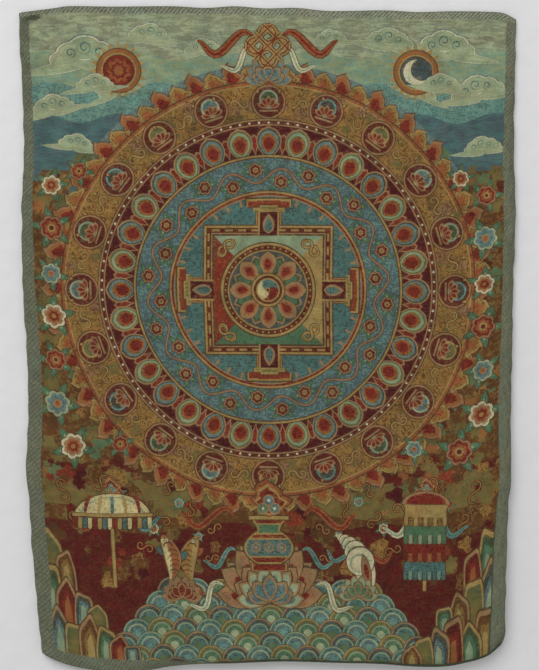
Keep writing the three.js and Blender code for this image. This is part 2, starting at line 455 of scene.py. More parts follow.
# Each band of a motif: its weave and its size as a share of the whole.
TALL_FLAME = (("umber", 1.07), ("blush", 1.0), ("rust gold", 0.84), ("brick", 0.56))
SHORT_FLAME = (("umber", 1.07), ("straw", 1.0), ("filigree", 0.84), ("rust", 0.5))
fire = list(round_places(WHEEL_CENTRE, FLAME_FOOT, FLAMES))
for weaves, height, row in ((TALL_FLAME, TALL, fire[::2]), (SHORT_FLAME, SHORT, fire[1::2])):
    for at, turn in row:
        nested(weaves, flame(height, FLAME_WIDTH), at, turn, 5j)
tell("fire")

# %% Rim of the wheel
def rings(*weaves_and_radii):
    for weave, radius in weaves_and_radii:
        paint(weave, disc(WHEEL_CENTRE, radius))


rings(("umber", WHEEL_RADIUS), ("rust", WHEEL_RADIUS - 0.8), ("straw", WHEEL_RADIUS - 2.4),
      ("filigree", WHEEL_RADIUS - 3.2))

RIM_MIDDLE, RIM_REACH = WHEEL_RADIUS - 13.0, 8  # the rim's middle line, and how far patches lie from it
RIM_PATCHES = ("filigree rose", "filigree rose", "filigree dark", "filigree green", "filigree")
RIM_PATCH_COUNT = 190
chance = random.Random(12)
for _ in range(RIM_PATCH_COUNT):
    radius = RIM_MIDDLE + chance.uniform(-RIM_REACH, RIM_REACH)
    at = WHEEL_CENTRE + cmath.rect(radius, chance.uniform(0, math.tau))
    weave = chance.choice(RIM_PATCHES)
    paint(weave, placed(lobed(chance.uniform(2, 5.5), 5, 0.4, 3), at, chance.uniform(0, 360)))
tell("ground of the rim")

# %% Scrolls and roundels in the rim
ROUNDELS, ROUNDEL_RADIUS, RIM_BEADS = 20, 10.2, 56
# Each roundel: the weaves of its halo and of its ground.
ROUNDEL_GROUNDS = (("sage", "forest"), ("mist", "denim"), ("straw", "moss"), ("teal light", "slate"))
for k, (at, turn) in enumerate(round_places(WHEEL_CENTRE, RIM_MIDDLE, ROUNDELS, 90 + 180 / ROUNDELS)):
    drawn_line((("brown", 1.8), ("straw", 0.9)), scroll_path(3.2, 1.15), at, turn + 90, k % 2 == 1, True)
for k, (at, turn) in enumerate(round_places(WHEEL_CENTRE, RIM_MIDDLE, ROUNDELS)):
    halo, ground = ROUNDEL_GROUNDS[k % 4]
    out = cmath.rect(1, math.radians(turn + 90))
    for weave, share in (("brown", 1.06), ("cream line", 1.0), ("maroon", 0.91)):
        paint(weave, disc(at, ROUNDEL_RADIUS * share))
    for weave, radius in ((halo, 5.8), (ground, 4.7)):
        paint(weave, disc(at + 1.6 * out, radius))
    for lean in (-70, 70, -36, 36, 0):
        nested((("cream line", 1.0), ("brick", 0.66)), petal(7.4, 3.4, 0.6, steps=5), at - 3.6 * out,
               turn + lean, 3.6j)
    paint("cream line", placed(box(-5.4j, 5.6, 0.6), at, turn))
for at, turn in round_places(WHEEL_CENTRE, WHEEL_RADIUS - 5.4, RIM_BEADS, 90 + 180 / RIM_BEADS):
    for weave, length, width in (("brown", 3.0, 2.6), ("straw", 2.2, 1.5)):
        paint(weave, placed(petal(length, width, 0.4), at, turn + 180))
tell("rim")

# %% Ring of pearls and ring of lotus petals
PEARLS, PEARL_RING, PEARL_RADIUS = 108, 101.5, 0.72
PETALS, PETAL_FOOT, PETAL_TIP = 32, 80.0, 99.6
rings(("umber", 104.2), ("cream line", 103.6), ("maroon", 102.7))
for at, _ in round_places(WHEEL_CENTRE, PEARL_RING, PEARLS):
    paint("pearl", disc(at, PEARL_RADIUS))
rings(("cream line", PETAL_TIP + 0.9), ("wine", PETAL_TIP + 0.1))
for at, turn in round_places(WHEEL_CENTRE, PETAL_FOOT, PETALS, 90 + 180 / PETALS):
    nested((("blush", 1.0), ("brick", 0.74)), petal(15, 6.4, 0.72, 0.9), at, turn, 10j)
for k, (at, turn) in enumerate(round_places(WHEEL_CENTRE, PETAL_FOOT, PETALS)):
    outer, inner = (("slate", "sky"), ("moss", "sage"))[k % 2]
    bands = (("cream line", 1.0), (outer, 0.9), (inner, 0.8), ("ochre", 0.64), ("rust", 0.52),
             ("brick", 0.42))
    nested(bands, petal(PETAL_TIP - PETAL_FOOT, 15.6, 0.55, 0.55, 10), at, turn, 8j)
rings(("umber", PETAL_FOOT + 2.4), ("gold line", PETAL_FOOT + 1.8), ("brown", PETAL_FOOT + 0.8),
      ("denim", PETAL_FOOT))
tell("pearls and petals")

# %% Blue ring with its vine
VINE_RADIUS, VINE_SWING, VINE_BENDS, BEND_STEPS = 69.6, 4.4, 14, 16
BLOOM_REACH = 3.6  # of the vine's blooms, in or out from its middle line
vine = []
for k in range(VINE_BENDS * BEND_STEPS + 1):
    swing = math.tau * k / BEND_STEPS
    vine.append(WHEEL_CENTRE + cmath.rect(VINE_RADIUS + VINE_SWING * math.sin(swing), swing / VINE_BENDS))
for weave, width in (("slate", 1.9), ("blush", 1.0)):
    for k in range(0, len(vine) - 1, BEND_STEPS):
        paint(weave, ribbon(vine[k:k + BEND_STEPS + 1], width))
for k in range(2 * VINE_BENDS):
    outward = k % 2 == 1
    angle = 360 * (k / 2 + 0.25) / VINE_BENDS
    radius = VINE_RADIUS + (BLOOM_REACH if outward else -BLOOM_REACH)
    at = WHEEL_CENTRE + cmath.rect(radius, math.radians(angle))
    turn = angle - 90 + (0 if outward else 180)
    for lean in (-98, -52, 52, 98):
        leaf = petal(8.4, 3.2, steps=5)
        nested((("slate", 1.15), ("jade", 1.0), ("sage", 0.36)), leaf, at, turn + lean, 4j)
    nested((("slate", 1.15), ("blush", 1.0), ("maroon", 0.78), ("cream line", 0.42), ("ochre", 0.24)),
           lobed(4.4, 6, 0.24), at, turn)
tell("vine")

# %% Palace with four gates
WALL = 39.0  # from the wheel's centre to the palace's outer wall
LEAVES, LEAF_RING = 40, 52.6
GATE_HEIGHT, GATE_FOOT, LINTEL = 17.2, 3.0, 2.6
# Each step of a gate: weave, half width and height above the wall.
GATE_STEPS = (("umber", 14.4, GATE_HEIGHT), ("gold line", 13.6, 16.4), ("brick floats", 12.6, 15.4),
              ("umber", 10.2, 13.0), ("straw", 9.6, 12.4), ("courses", 8.8, 11.6))
rings(("umber", 60.6), ("gold line", 60.0), ("brick", 58.9), ("cream line", 57.6), ("teal", 56.9))
for at, turn in round_places(WHEEL_CENTRE, LEAF_RING, LEAVES):
    paint("cream line", placed(petal(4.6, 1.7, 0.35), at, turn))
for _, turn in round_places(WHEEL_CENTRE, 0, 4):
    for weave, half_width, height in GATE_STEPS:
        shaft = box(complex(0, WALL + height / 2 - GATE_FOOT), half_width * 0.56, height / 2 + GATE_FOOT)
        half_height = LINTEL - (GATE_HEIGHT - height) * 0.3
        lintel = box(complex(0, WALL + height - LINTEL), half_width, half_height)
        for shape in (shaft, lintel):
            paint(weave, placed(shape, WHEEL_CENTRE, turn))
tell("gates")

# %% Walls and court of the palace
COURT = 33.0  # from the wheel's centre to the side of the inner court
# Each step of the wall: weave and distance from the wheel's centre.
WALL_STEPS = (("umber", WALL + 0.8), ("gold line", WALL), ("maroon", WALL - 1.2), ("cream line", WALL - 4.2),
              ("umber", WALL - 4.9))
# Each door: weave, half width and top. Each petal in it: weave, length, width and foot.
DOORS = (("gold line", 6.4, WALL + 9.5), ("wine", 5.3, WALL + 8.4))
DOOR_FOOT = WALL - 6
DOOR_PETALS = (("cream line", 12.5, 7.2, WALL - 5), ("teal", 9.2, 4.6, WALL - 4))
for weave, half in WALL_STEPS:
    paint(weave, box(WHEEL_CENTRE, half, half))
for weave, turn in (("sage", 0), ("brick floats", 90), ("jade", 180), ("straw", 270)):
    paint(weave, placed([0j, complex(-COURT, COURT), complex(COURT, COURT)], WHEEL_CENTRE, turn))
for _, turn in round_places(WHEEL_CENTRE, 0, 4):
    for x in range(-32, 33, 8):
        paint("gold line", placed(box(complex(x, WALL - 2.7), 2.4, 0.65), WHEEL_CENTRE, turn))
    for weave, half_width, top in DOORS:
        door = box(complex(0, (DOOR_FOOT + top) / 2), half_width, (top - DOOR_FOOT) / 2)
        paint(weave, placed(door, WHEEL_CENTRE, turn))
    for weave, length, width, foot in DOOR_PETALS:
        at = moved(complex(0, foot), WHEEL_CENTRE, turn)
        paint(weave, placed(petal(length, width, 0.42), at, turn))
    for x in (-1, 1):
        at = moved(complex(x * 25.5, 26.2), WHEEL_CENTRE, turn)
        drawn_line((("umber", 2.2), ("gold line", 1.1)), scroll_path(3.6, 0.9), at, turn + 40 * x, x > 0,
                   True)
tell("palace")

# %% Lotus and hub
BEADS, BEAD_RING, BEAD_RADIUS = 44, 25.9, 0.6
LOTUS_PETALS, BACK_FOOT, FRONT_FOOT = 8, 9, 7.5
rings(("umber", 29.4), ("gold line", 28.6), ("maroon", 27.2))
for at, _ in round_places(WHEEL_CENTRE, BEAD_RING, BEADS):
    paint("straw", disc(at, BEAD_RADIUS))
rings(("gold line", 24.5), ("denim dark", 23.7))
for at, turn in round_places(WHEEL_CENTRE, BACK_FOOT, LOTUS_PETALS, 90 + 180 / LOTUS_PETALS):
    nested((("cream line", 1.0), ("forest", 0.84), ("jade", 0.62)), petal(13.6, 8.6, 0.5), at, turn, 6j)
for at, turn in round_places(WHEEL_CENTRE, FRONT_FOOT, LOTUS_PETALS):
    nested((("umber", 1.06), ("cream line", 1.0), ("blush", 0.8), ("rust", 0.6), ("brick", 0.42)),
           petal(16, 10.4, 0.58, 0.7), at, turn, 8j)
rings(("umber", 10.6), ("gold line", 10.0), ("maroon", 8.7), ("gold line", 7.2))
HUB_RADIUS, SWIRL = 6.4, 70  # the hub's three fields meet along lines that bend by so many degrees
for k, weave in enumerate(("teal", "cream", "brick")):
    start = 120 * k
    edge = [cmath.rect(HUB_RADIUS, math.radians(start + 12 * step)) for step in range(11)]
    inward = [cmath.rect(HUB_RADIUS * (1 - step / 9), math.radians(start + 120 + SWIRL * step / 9))
              for step in range(10)]
    outward = [cmath.rect(HUB_RADIUS * step / 9, math.radians(start + SWIRL - SWIRL * step / 9))
               for step in range(10)]
    paint(weave, [WHEEL_CENTRE + p for p in edge + inward + outward[1:-1]])
rings(("gold line", 1.5), ("maroon", 0.9))
tell("lotus and hub")

# %% [markdown]
# ## Around the wheel: blossoms, treasures and water
#
# Every other motif is a common one too: blossoms and leaves, a sun and a moon, a parasol, a
# banner, a shell, two fish, a knot, a vase of jewels on a lotus, and scale-shaped waves. Each has
# a short function of its own, which draws it at a place, mirrored or not. That keeps the numbers of
# a motif apart from the place where it stands, so it can be moved without being drawn again.

# %% Blossoms
BLOSSOM_WEAVES = (
    (("umber", 1.08), ("pearl", 1.0), ("blush", 0.8), ("rust", 0.56), ("brick", 0.4), ("gold", 0.2)),
    (("umber", 1.08), ("blush", 1.0), ("brick", 0.84), ("rust", 0.6), ("straw", 0.34), ("maroon", 0.2)),
    (("umber", 1.08), ("mist", 1.0), ("sky", 0.82), ("denim", 0.6), ("cream line", 0.36), ("rust", 0.22)),
)
# Each blossom: up, size and kind, and in the corners across, up, size and kind.
SIDE_BLOSSOMS = ((-112, 6.2, 0), (-138, 7.6, 1), (-166, 6.4, 2), (-192, 7.8, 0), (-219, 6.8, 1),
                 (-246, 8.2, 2))
CORNER_BLOSSOMS = ((-121, -268, 8, 0), (118, -270, 8.4, 1), (-92, -266, 5.2, 1), (90, -268, 5.4, 2),
                   (-116, -100, 5.4, 1), (117, -104, 5.2, 0))


def blossom(at, size, kind, turn):
    """A round flower in front of five leaves."""
    for k in range(5):
        leaf = petal(size * 1.75, size * 0.62, steps=5)
        nested((("umber", 1.12), ("jade", 1.0), ("sage", 0.4)), leaf, at, turn + 20 + 72 * k, size * 0.8j)
    nested(BLOSSOM_WEAVES[kind], lobed(size, 7, 0.2), at, turn)


for y, size, kind in SIDE_BLOSSOMS:
    for side in (-1, 1):
        at = complex(side * (HALF - 15 - size * 0.4), y - 3 * side)
        blossom(at, size, (kind + (side > 0)) % 3, y * side)
for x, y, size, kind in CORNER_BLOSSOMS:
    blossom(complex(x, y), size, kind, x)
tell("blossoms")

# %% Sun and moon
SUN, MOON = complex(-91, -39), complex(90, -40)
RAYS = 20
for place, field in ((SUN, "brick"), (MOON, "denim dark")):
    for at, turn in round_places(place, 12.0, RAYS):
        paint("straw", placed(petal(5.6, 2.8, 0.3, steps=4), at, turn))
    bands = (("umber", 13.8), ("rust gold", 13.2), ("straw", 10.6), ("umber", 9.8), (field, 9.3))
    for weave, radius in bands:
        paint(weave, disc(place, radius))
nested((("rust", 1.0), ("brick", 0.7), ("rust gold", 0.45)), lobed(7.6, 9, 0.25), SUN)
for weave, shift, radius in (("pearl", 0, 7.6), ("denim dark", 3.4 + 1.5j, 6.6)):
    paint(weave, disc(MOON + shift, radius))
cloud(SUN - 15 - 9j, False, 4.6, 4)
cloud(MOON + 16 - 8j, True, 4.8, -6)
tell("sun and moon")

# %% Tendrils on the earth
# Each tendril and each blossom, on both sides of the middle line: across, up and size.
TENDRILS = ((128, -296, 4.2), (104, -290, 3.4), (84, -304, 3.8), (66, -312, 3.2), (48, -306, 2.8),
            (34, -318, 2.6), (78, -330, 3.0), (122, -314, 3.2), (62, -294, 2.6), (36, -336, 2.4))
EARTH_BLOSSOMS = ((94, -296, 3.6), (56, -302, 3.0), (72, -318, 3.2), (44, -322, 2.4), (112, -302, 2.8))
for k, (x, y, size) in enumerate(TENDRILS):
    for side in (-1, 1):
        at, turn = complex(side * x, y), 50 * k * side
        drawn_line((("wine", 2.0), ("gold", 0.8)), scroll_path(size, 1.1), at, turn, side < 0, True)
for x, y, size in EARTH_BLOSSOMS:
    for side in (-1, 1):
        blossom(complex(side * x, y + side), size, x % 3, 20 * side)
tell("tendrils")

# %% Ribbons and jewels
# Each kind of ribbon: the weaves of its band and of its fold line.
RIBBON_WEAVES = (("pearl", "sage"), ("teal light", "teal"), ("rust", "brick"))
RIBBON_STEPS = 12


def streamer(at, flip, length, kind, turn):
    """A ribbon that flutters away from a motif, with its fold line."""
    light, dark = RIBBON_WEAVES[kind]
    path = []
    for k in range(RIBBON_STEPS + 1):
        t = k / RIBBON_STEPS
        path.append(complex(length * t, -length * 0.35 * t + length * 0.17 * math.sin(7.5 * t)))
    widths = (("umber", 0.17 * length), (light, 0.13 * length), (dark, 0.045 * length))
    drawn_line(widths, path, at, turn, flip, True)


def streamers(x, y, length, kind, turn):
    """A ribbon on each side of the picture's middle line."""
    streamer(complex(-x, y), True, length, kind, -turn)
    streamer(complex(x, y), False, length, kind, turn)


def jewels(at, size):
    """Three jewels in front of a flame."""
    for weave, share in (("umber", 1.08), ("rust", 1.0), ("straw", 0.82), ("brick", 0.7)):
        paint(weave, placed(flame(3.6, 3.3), at + (1 - share) * 0.9j * size, 0, size * share))
    for x, y, weave in ((-0.55, 0.75, "jade"), (0.55, 0.75, "teal"), (0, 1.5, "denim")):
        for band, radius in (("cream line", 0.56), (weave, 0.44), ("pearl", 0.13)):
            paint(band, disc(at + size * complex(x, y), size * radius))


# %% Parasol
POLE_FOOT, POLE_TOP = -32, 26


def pole(at):
    """What a parasol or a banner stands on."""
    for weave, half_width in (("umber", 1.5), ("straw", 1.0)):
        middle = at + complex(0, (POLE_FOOT + POLE_TOP) / 2)
        paint(weave, box(middle, half_width, (POLE_TOP - POLE_FOOT) / 2))


def pleats(at, half_width, top, depth, weaves, count):
    """A hanging frill: pleats in turn, each rounded at its foot."""
    reach = half_width / count
    for k in range(count):
        x = -half_width + (2 * k + 1) * half_width / count
        foot = [complex(x, top - depth) + p.conjugate() for p in dome(reach, reach, 4)]
        inner = [complex(x + 0.78 * (p.real - x), p.imag + 0.35) for p in foot]
        for weave, rounded, half in (("umber", foot, reach), (weaves[k % len(weaves)], inner, reach * 0.78)):
            paint(weave, placed(rounded + [complex(x - half, top), complex(x + half, top)], at))


def parasol(at, flip):
    pole(at)
    streamer(at + 12j, flip, 30, 1, 8)
    streamer(at + 12j, not flip, 26, 2, -4)
    cover = dome(24, 15, 14)
    nested((("umber", 1.05), ("cream", 1.0), ("sage", 0.86), ("cream", 0.8)), cover, at + 10j, 0, 3j)
    for k, weave in ((-2, "brick"), (-1, "straw"), (0, "teal"), (1, "straw"), (2, "brick")):
        angles = [math.pi * step / 16 for step in range(8, -1, -1)]
        rib = [complex(k * 8.6 * math.cos(a * 0.5), 13 * math.sin(a)) for a in angles]
        paint(weave, placed(ribbon(rib, 2.4, True), at + 10.5j))
    pleats(at, 25, 11.5, 7, ("brick", "straw", "teal", "cream"), 16)
    for weave, half_width, half_height in (("umber", 26, 1.5), ("gold line", 25.2, 0.9)):
        paint(weave, box(at + 11.6j, half_width, half_height))
    jewels(at + 25j, 3.2)


# %% Banner
# Each tier: its height and the weaves of its pleats.
BANNER_TIERS = ((-16, ("teal", "teal light")), (-5, ("brick", "rust")), (6, ("jade", "sage")),
                (17, ("straw", "ochre")))


def banner(at, flip):
    """A tall banner of four frilled tiers under a domed top."""
    pole(at)
    streamer(at + 14j, flip, 28, 0, 6)
    streamer(at + 14j, not flip, 28, 1, -6)
    for level, weaves in BANNER_TIERS:
        paint("umber", box(at + complex(0, level - 2), 13.6, 5.2))
        paint(weaves[0], box(at + complex(0, level - 1.4), 12.8, 4.4))
        pleats(at, 13.6, level - 4, 4.4, weaves, 9)
        paint("gold line", box(at + complex(0, level + 2.8), 13.6, 0.9))
    nested((("umber", 1.06), ("cream line", 1.0), ("brick", 0.84)), dome(15, 8, 10), at + 20.5j, 0, 3j)
    jewels(at + 28j, 2.7)


# %% Lotus seat
# Each petal: its lean and its length as a share of the lotus's size.
BACK_PETALS = ((-82, 1.0), (82, 1.0), (-58, 1.05), (58, 1.05), (-34, 1.08), (34, 1.08), (-12, 1.1),
               (12, 1.1))
FRONT_PETALS = ((-66, 0.72), (66, 0.72), (-40, 0.76), (40, 0.76), (0, 0.8))


def lotus(at, size, weaves):
    """An open lotus seen from the side: its outer petals first, then those in front."""
    edge, middle, heart = weaves
    for lean, length in BACK_PETALS:
        nested((("umber", 1.06), (edge, 1.0), (middle, 0.84), (heart, 0.5)),
               petal(length * size, size * 0.46, 0.58), at, lean, 0.5j * size)
    for lean, length in FRONT_PETALS:
        nested((("umber", 1.08), (edge, 1.0), (heart, 0.74)),
               petal(length * size, size * 0.42, 0.58), at, lean, 0.36j * size)


print(f"a lotus has {len(BACK_PETALS) + len(FRONT_PETALS)} petals")

# %% Shell
# Each whorl: across, up and radius.
WHORLS = ((-1.5, 0.5, 8.6), (1.6, 6.4, 6.6), (5.0, 10.6, 4.8), (8.2, 13.4, 3.4), (10.8, 15.2, 2.2),
          (12.8, 16.4, 1.3))
MOUTH_HEART = -5.4 - 5j


def shell(at, flip):
    """A conch: a long spout, whorls that shrink towards its tip, and the mouth along one side."""
    streamer(at + 4j, not flip, 22, 2, 20)
    streamer(at + 2j, flip, 20, 1, -26)
    nested((("umber", 1.07), ("pearl", 1.0), ("cream", 0.72)), petal(23, 13, 0.4),
           moved(-1 + 4j, at, flip=flip), -160 if flip else 160, 9j)
    for x, y, radius in reversed(WHORLS):
        for weave, share in (("umber", 1.09), ("pearl", 1.0), ("sage", 0.7), ("pearl", 0.58)):
            shift = complex(x + 0.12 * radius * (1 - share), y - 0.4 * radius * (1 - share))
            paint(weave, placed(placed(disc(0j, radius * share), shift), at, flip=flip))
    mouth = placed(petal(21, 5.6, 0.5), -7.6 - 16j, -12)
    for weave, share in (("umber", 1.12), ("blush", 1.0), ("brick", 0.5)):
        paint(weave, placed([MOUTH_HEART + (p - MOUTH_HEART) * share for p in mouth], at, flip=flip))
    lotus(at - 22j, 13, ("cream line", "sage", "jade"))


# %% Two fish
FISH_LENGTH, FISH_STEPS = 28.0, 12


def fish_spine(t):
    """A place on the fish's middle line, from its tail at 0 to its mouth at 1."""
    return complex(3.6 * math.sin(math.pi * t) - 4.0 * t, FISH_LENGTH * t)


def fish_flank(left, right, start=0.0, end=1.0):
    """The part of the fish between two lines, each a share of its half width out from the spine."""
    steps = [start + (end - start) * (1 - (1 - k / FISH_STEPS) ** 1.5) for k in range(FISH_STEPS + 1)]
    path = []
    for t in steps:
        bulge = 0.9 + 4.0 * math.sin(math.pi * t * 0.88) ** 1.2
        path.append((fish_spine(t), bulge * min(1, (1.02 - t) * 7) ** 0.5))
    return [p + right * r for p, r in path] + [p + left * r for p, r in reversed(path)]


def fins(at, flip, belly, fin):
    for lean in (-34, 30):
        nested((("umber", 1.12), (fin, 1.0), (belly, 0.5)), petal(11, 5.4, 0.62, steps=5), at,
               180 + (-lean if flip else lean), 6j)
    for side, along, lean in ((1, 0.46, -48), (-1, 0.56, 52)):
        root = moved(fish_spine(along) + side * 3.2, at, flip=flip)
        nested((("umber", 1.15), (fin, 1.0)), petal(8, 4.4, 0.5, steps=5), root, -lean if flip else lean, 4j)


def fish(at, flip, body, belly, fin):
    """A fish that stands on its tail, its back bent outwards."""
    fins(at, flip, belly, fin)
    for weave, share in (("umber", 1.22), ("cream line", 1.08), (body, 0.94)):
        paint(weave, placed(fish_flank(-share, share), at, flip=flip))
    paint(belly, placed(fish_flank(-0.94, -0.2, 0.02, 0.92), at, flip=flip))
    for k in range(5):
        middle = fish_spine(0.2 + 0.11 * k) + 0.9
        drawn_line((("brown", 0.7),), [middle + p for p in dome(2.7, 1.5, 6)], at, flip=flip)
    gill = [fish_spine(0.8) + (p - 1j) for p in dome(2.7, 2.2, 8)]
    drawn_line((("umber", 0.8),), gill, at, flip=flip)
    for weave, radius in (("umber", 1.5), ("pearl", 1.1), ("umber", 0.5)):
        paint(weave, placed(disc(fish_spine(0.89) + 0.4, radius), at, flip=flip))


def two_fish(at):
    fish(at - 13j + 6.4, True, "gold", "straw", "rust")
    fish(at - 13j - 6.4, False, "rust gold", "cream", "teal")
    lotus(at - 24j, 13, ("cream line", "blush", "brick"))


# %% Knot
def knot(at, size):
    """A knot without an end: straight runs that cross, joined by loops at the rim."""
    turns = [math.pi * (step / 8 * 1.5 - 0.25) for step in range(9)]
    for weave, width in (("umber", 0.62), ("straw", 0.42), ("brick", 0.12)):
        for x, y in ((-1, -1), (-1, 1), (1, -1), (1, 1)):
            bow = [complex(x * (0.66 + 0.6 * math.sin(a)), y * (0.66 + 0.6 * math.cos(a))) for a in turns]
            paint(weave, placed(ribbon(bow, width * 0.8), at, 45, size))
        for shift in (-0.9, 0, 0.9):
            run = ribbon([complex(shift, -1.4), complex(shift, 1.4)], width * 0.8)
            for turn in (45, 135):
                paint(weave, placed(run, at, turn, size))


streamers(8, -20, 34, 2, 10)
streamers(7, -26, 24, 0, -14)
lotus(complex(0, -46), 15, ("cream line", "sky", "denim"))
knot(complex(0, -24), 8.2)
tell("knot")

# %% Waves
WAVE_WEAVES = (("slate", "sage", "teal", "mist", "denim", "teal light"),
               ("slate", "straw", "moss", "sage", "jade", "mist"),
               ("slate", "cream line", "denim dark", "sage", "teal", "jade olive"))
WAVE_SHARES = (1.04, 1.0, 0.9, 0.68, 0.58, 0.3)
WAVE_SIZE, WAVE_FOOT, WAVE_STEP, WAVE_DROP, WAVE_ROWS = 9.2, 5, 15.6, 8.2, 7
SHORE = 63.0  # how far the first row reaches to each side
for row in range(WAVE_ROWS):
    level = WATER_TOP - 6 - WAVE_DROP * row
    for k in range(-7, 8):
        x = k * WAVE_STEP + WAVE_STEP / 2 * (row % 2)
        if abs(x) < SHORE + WAVE_STEP / 2 * row:
            for weave, share in zip(WAVE_WEAVES[(k + 2 * row) % 3], WAVE_SHARES):
                reach = WAVE_SIZE * share
                foot = [complex(-reach, -WAVE_FOOT), complex(reach, -WAVE_FOOT)]
                paint(weave, placed(dome(reach, reach, 9) + foot, complex(x, level)))
tell("waves")

# %% Rocks
ROCK_WEAVES = (("umber", "cream line", "slate", "denim", "sage"),
               ("umber", "straw", "moss", "olive", "olive dapple"),
               ("umber", "cream line", "brown", "ochre", "straw"),
               ("umber", "straw", "forest", "jade", "sage"),
               ("umber", "cream line", "maroon", "brick", "rust gold"))
ROCK_SHARES = (1.08, 1.0, 0.84, 0.56, 0.3)
ROCK_ANGLES = [math.pi * k / 16 for k in range(17)]
# The crags stand in three tiers, each in front of the feet of the one behind it. Each tier has the
# height of its foot, and each crag has its place across, half width and height.
ROCK_TIERS = (
    (-352, ((147, 6.5, 38), (138, 7, 30), (129, 6, 19))),
    (-376, ((149, 6.5, 26), (140, 7.5, 33), (130, 7, 25), (120, 6.5, 18), (111, 6, 11))),
    (-398, ((147, 8, 22), (137, 7, 27), (127, 7.5, 20), (117, 7, 26), (107, 7, 20), (98, 6.5, 15),
            (90, 6, 9))),
)


def rock(x, foot, half_width, height, kind):
    """One crag: bands inside each other, all standing on its foot."""
    for weave, share in zip(ROCK_WEAVES[kind % 5], ROCK_SHARES):
        path = []
        for a in ROCK_ANGLES:
            jag = 1 + 0.06 * math.sin(4 * a + x)
            path.append(complex(half_width * share * (math.cos(a) + 0.10 * math.sin(3 * a + x)),
                                height * (0.3 + 0.7 * share) * math.sin(a) ** 0.65 * jag))
        paint(weave, placed(path + [path[-1] - 7j, path[0] - 7j], complex(x, foot)))


for side in (-1, 1):
    for foot, tier in ROCK_TIERS:
        for k, (x, half_width, height) in enumerate(tier):
            rock(side * x, foot - side, half_width, height + 2 * side, k + side - foot // 10)
tell("rocks")

# %% Treasures
two_fish(complex(-56, -338))
shell(complex(56, -338), True)
parasol(complex(-98, -322), False)
banner(complex(98, -322), True)
streamers(22, -310, 32, 2, 14)
streamers(20, -332, 22, 1, -4)
streamers(30, -352, 26, 0, -20)
tell("treasures")

# %% Vase
VASE_CENTRE = complex(0, -340)
VASE_BELLY, VASE_NECK = 20, 8  # their heights, in millimetres
# Each band of the vase: weave, lower and upper height, and share of the vase's width.
VASE_BANDS = (("brick", 1, 4, 0.9), ("teal", 5, 15, 0.92), ("brick", 16, 18, 0.9), ("jade", 19, 24, 0.84),
              ("brick", 25, 28, 0.86))


def vase_reach(y):
    """The vase's half width at a height: round in its belly, wider again at its lip."""
    if y < VASE_BELLY:
        return 7 + 8.5 * math.sin(math.pi * (y / VASE_BELLY)) ** 0.8
    return 7 + 4.5 * ((y - VASE_BELLY) / VASE_NECK) ** 2


def vase_part(low, high):
    """The part of the vase between two heights."""
    right = [complex(vase_reach(y), y) for y in range(low, high + 1)]
    return right + [-p.conjugate() for p in reversed(right)]


for k in (-1, 1):
    for lean, length in ((74, 30), (52, 34), (30, 36)):
        nested((("umber", 1.05), ("cream line", 1.0), ("forest", 0.88), ("jade", 0.72), ("sage", 0.3)),
               petal(length, 12, 0.6), VASE_CENTRE - 20j, k * lean, 15j)
lotus(VASE_CENTRE - 22j, 34, ("cream line", "blush", "brick"))
lotus(VASE_CENTRE - 24j, 22, ("cream line", "mist", "denim"))
for weave, half_width in (("umber", 12), ("gold line", 11.2), ("brick", 10.2)):
    paint(weave, box(VASE_CENTRE - 2j, half_width, 2.6 - (12 - half_width) * 0.35))
nested((("umber", 1.06), ("straw", 1.0)), vase_part(0, VASE_BELLY + VASE_NECK), VASE_CENTRE, 0, 12j)
for weave, low, high, share in VASE_BANDS:
    paint(weave, placed([complex(p.real * share, p.imag) for p in vase_part(low, high)], VASE_CENTRE))
for x in (-8, 0, 8):
    nested((("cream line", 1.0), ("denim", 0.7), ("straw", 0.3)), lobed(3.4, 6, 0.25), VASE_CENTRE + x + 10j)
for weave, half_width, half_height in (("umber", 13.2, 1.7), ("gold line", 12.4, 1.0)):
    paint(weave, box(VASE_CENTRE + 28.4j, half_width, half_height))
jewels(VASE_CENTRE + 29j, 6.6)
tell("vase")

# %% [markdown]
# ## The twill margin
#
# The margin is not a border sewn on but the same cloth in another weave, so it needs no piece and
# no step. It frames the picture and is painted last, over the motifs that run past it. It isn't
# even: the cloth was cut and hemmed by hand, so each side has its own width from top to bottom.
# Where the lower edge curls back, a dark strip is painted above the margin as the shade of the curl.

# %% Margin
# Widths of the margin, at drops down the sides and at places across.
MARGIN = {
    "down": (0, 60, 120, 180, 240, 300, 360, 407),
    "left": (5.3, 5.8, 6.4, 7.6, 8.6, 9.4, 9.6, 8.6),
    "right": (5.2, 5.8, 7.2, 6.4, 7.6, 7.2, 8.2, 10),
}
TOP_MARGIN = {"across": (-HALF, HALF), "width": (3.0, 5.6)}
LOWER_MARGIN = {
    "across": (-150, -110, -80, -50, 0, 60, 110, 150),
    "width": (8, 8.5, 7.5, 5, 3.2, 2.6, 2.8, 3.4),
}
# Painted shade: heights of the dark strip along the lower edge, where it curls back.
CURL_SHADE_STRIP = {"across": (-150, -60, -40, 0, 60, 110, 150), "width": (0, 0, 6, 8, 8, 8, 7)}
HEM_WAVER = 0.25  # how far a hand-turned hem strays from its line
DARK_LINE_FROM = 300  # below this height a dark line runs along the right margin


def wavering(table, column, start, end, count, seed):
    """Widths along a side, on the table's straight lines, each a little off as hand-turned hems are."""
    chance = random.Random(seed)
    keys = next(iter(table.values()))  # the table's first column
    for k in range(count + 1):
        place = start + (end - start) * k / count
        yield place, float(np.interp(place, keys, table[column])) + chance.uniform(-HEM_WAVER, HEM_WAVER)


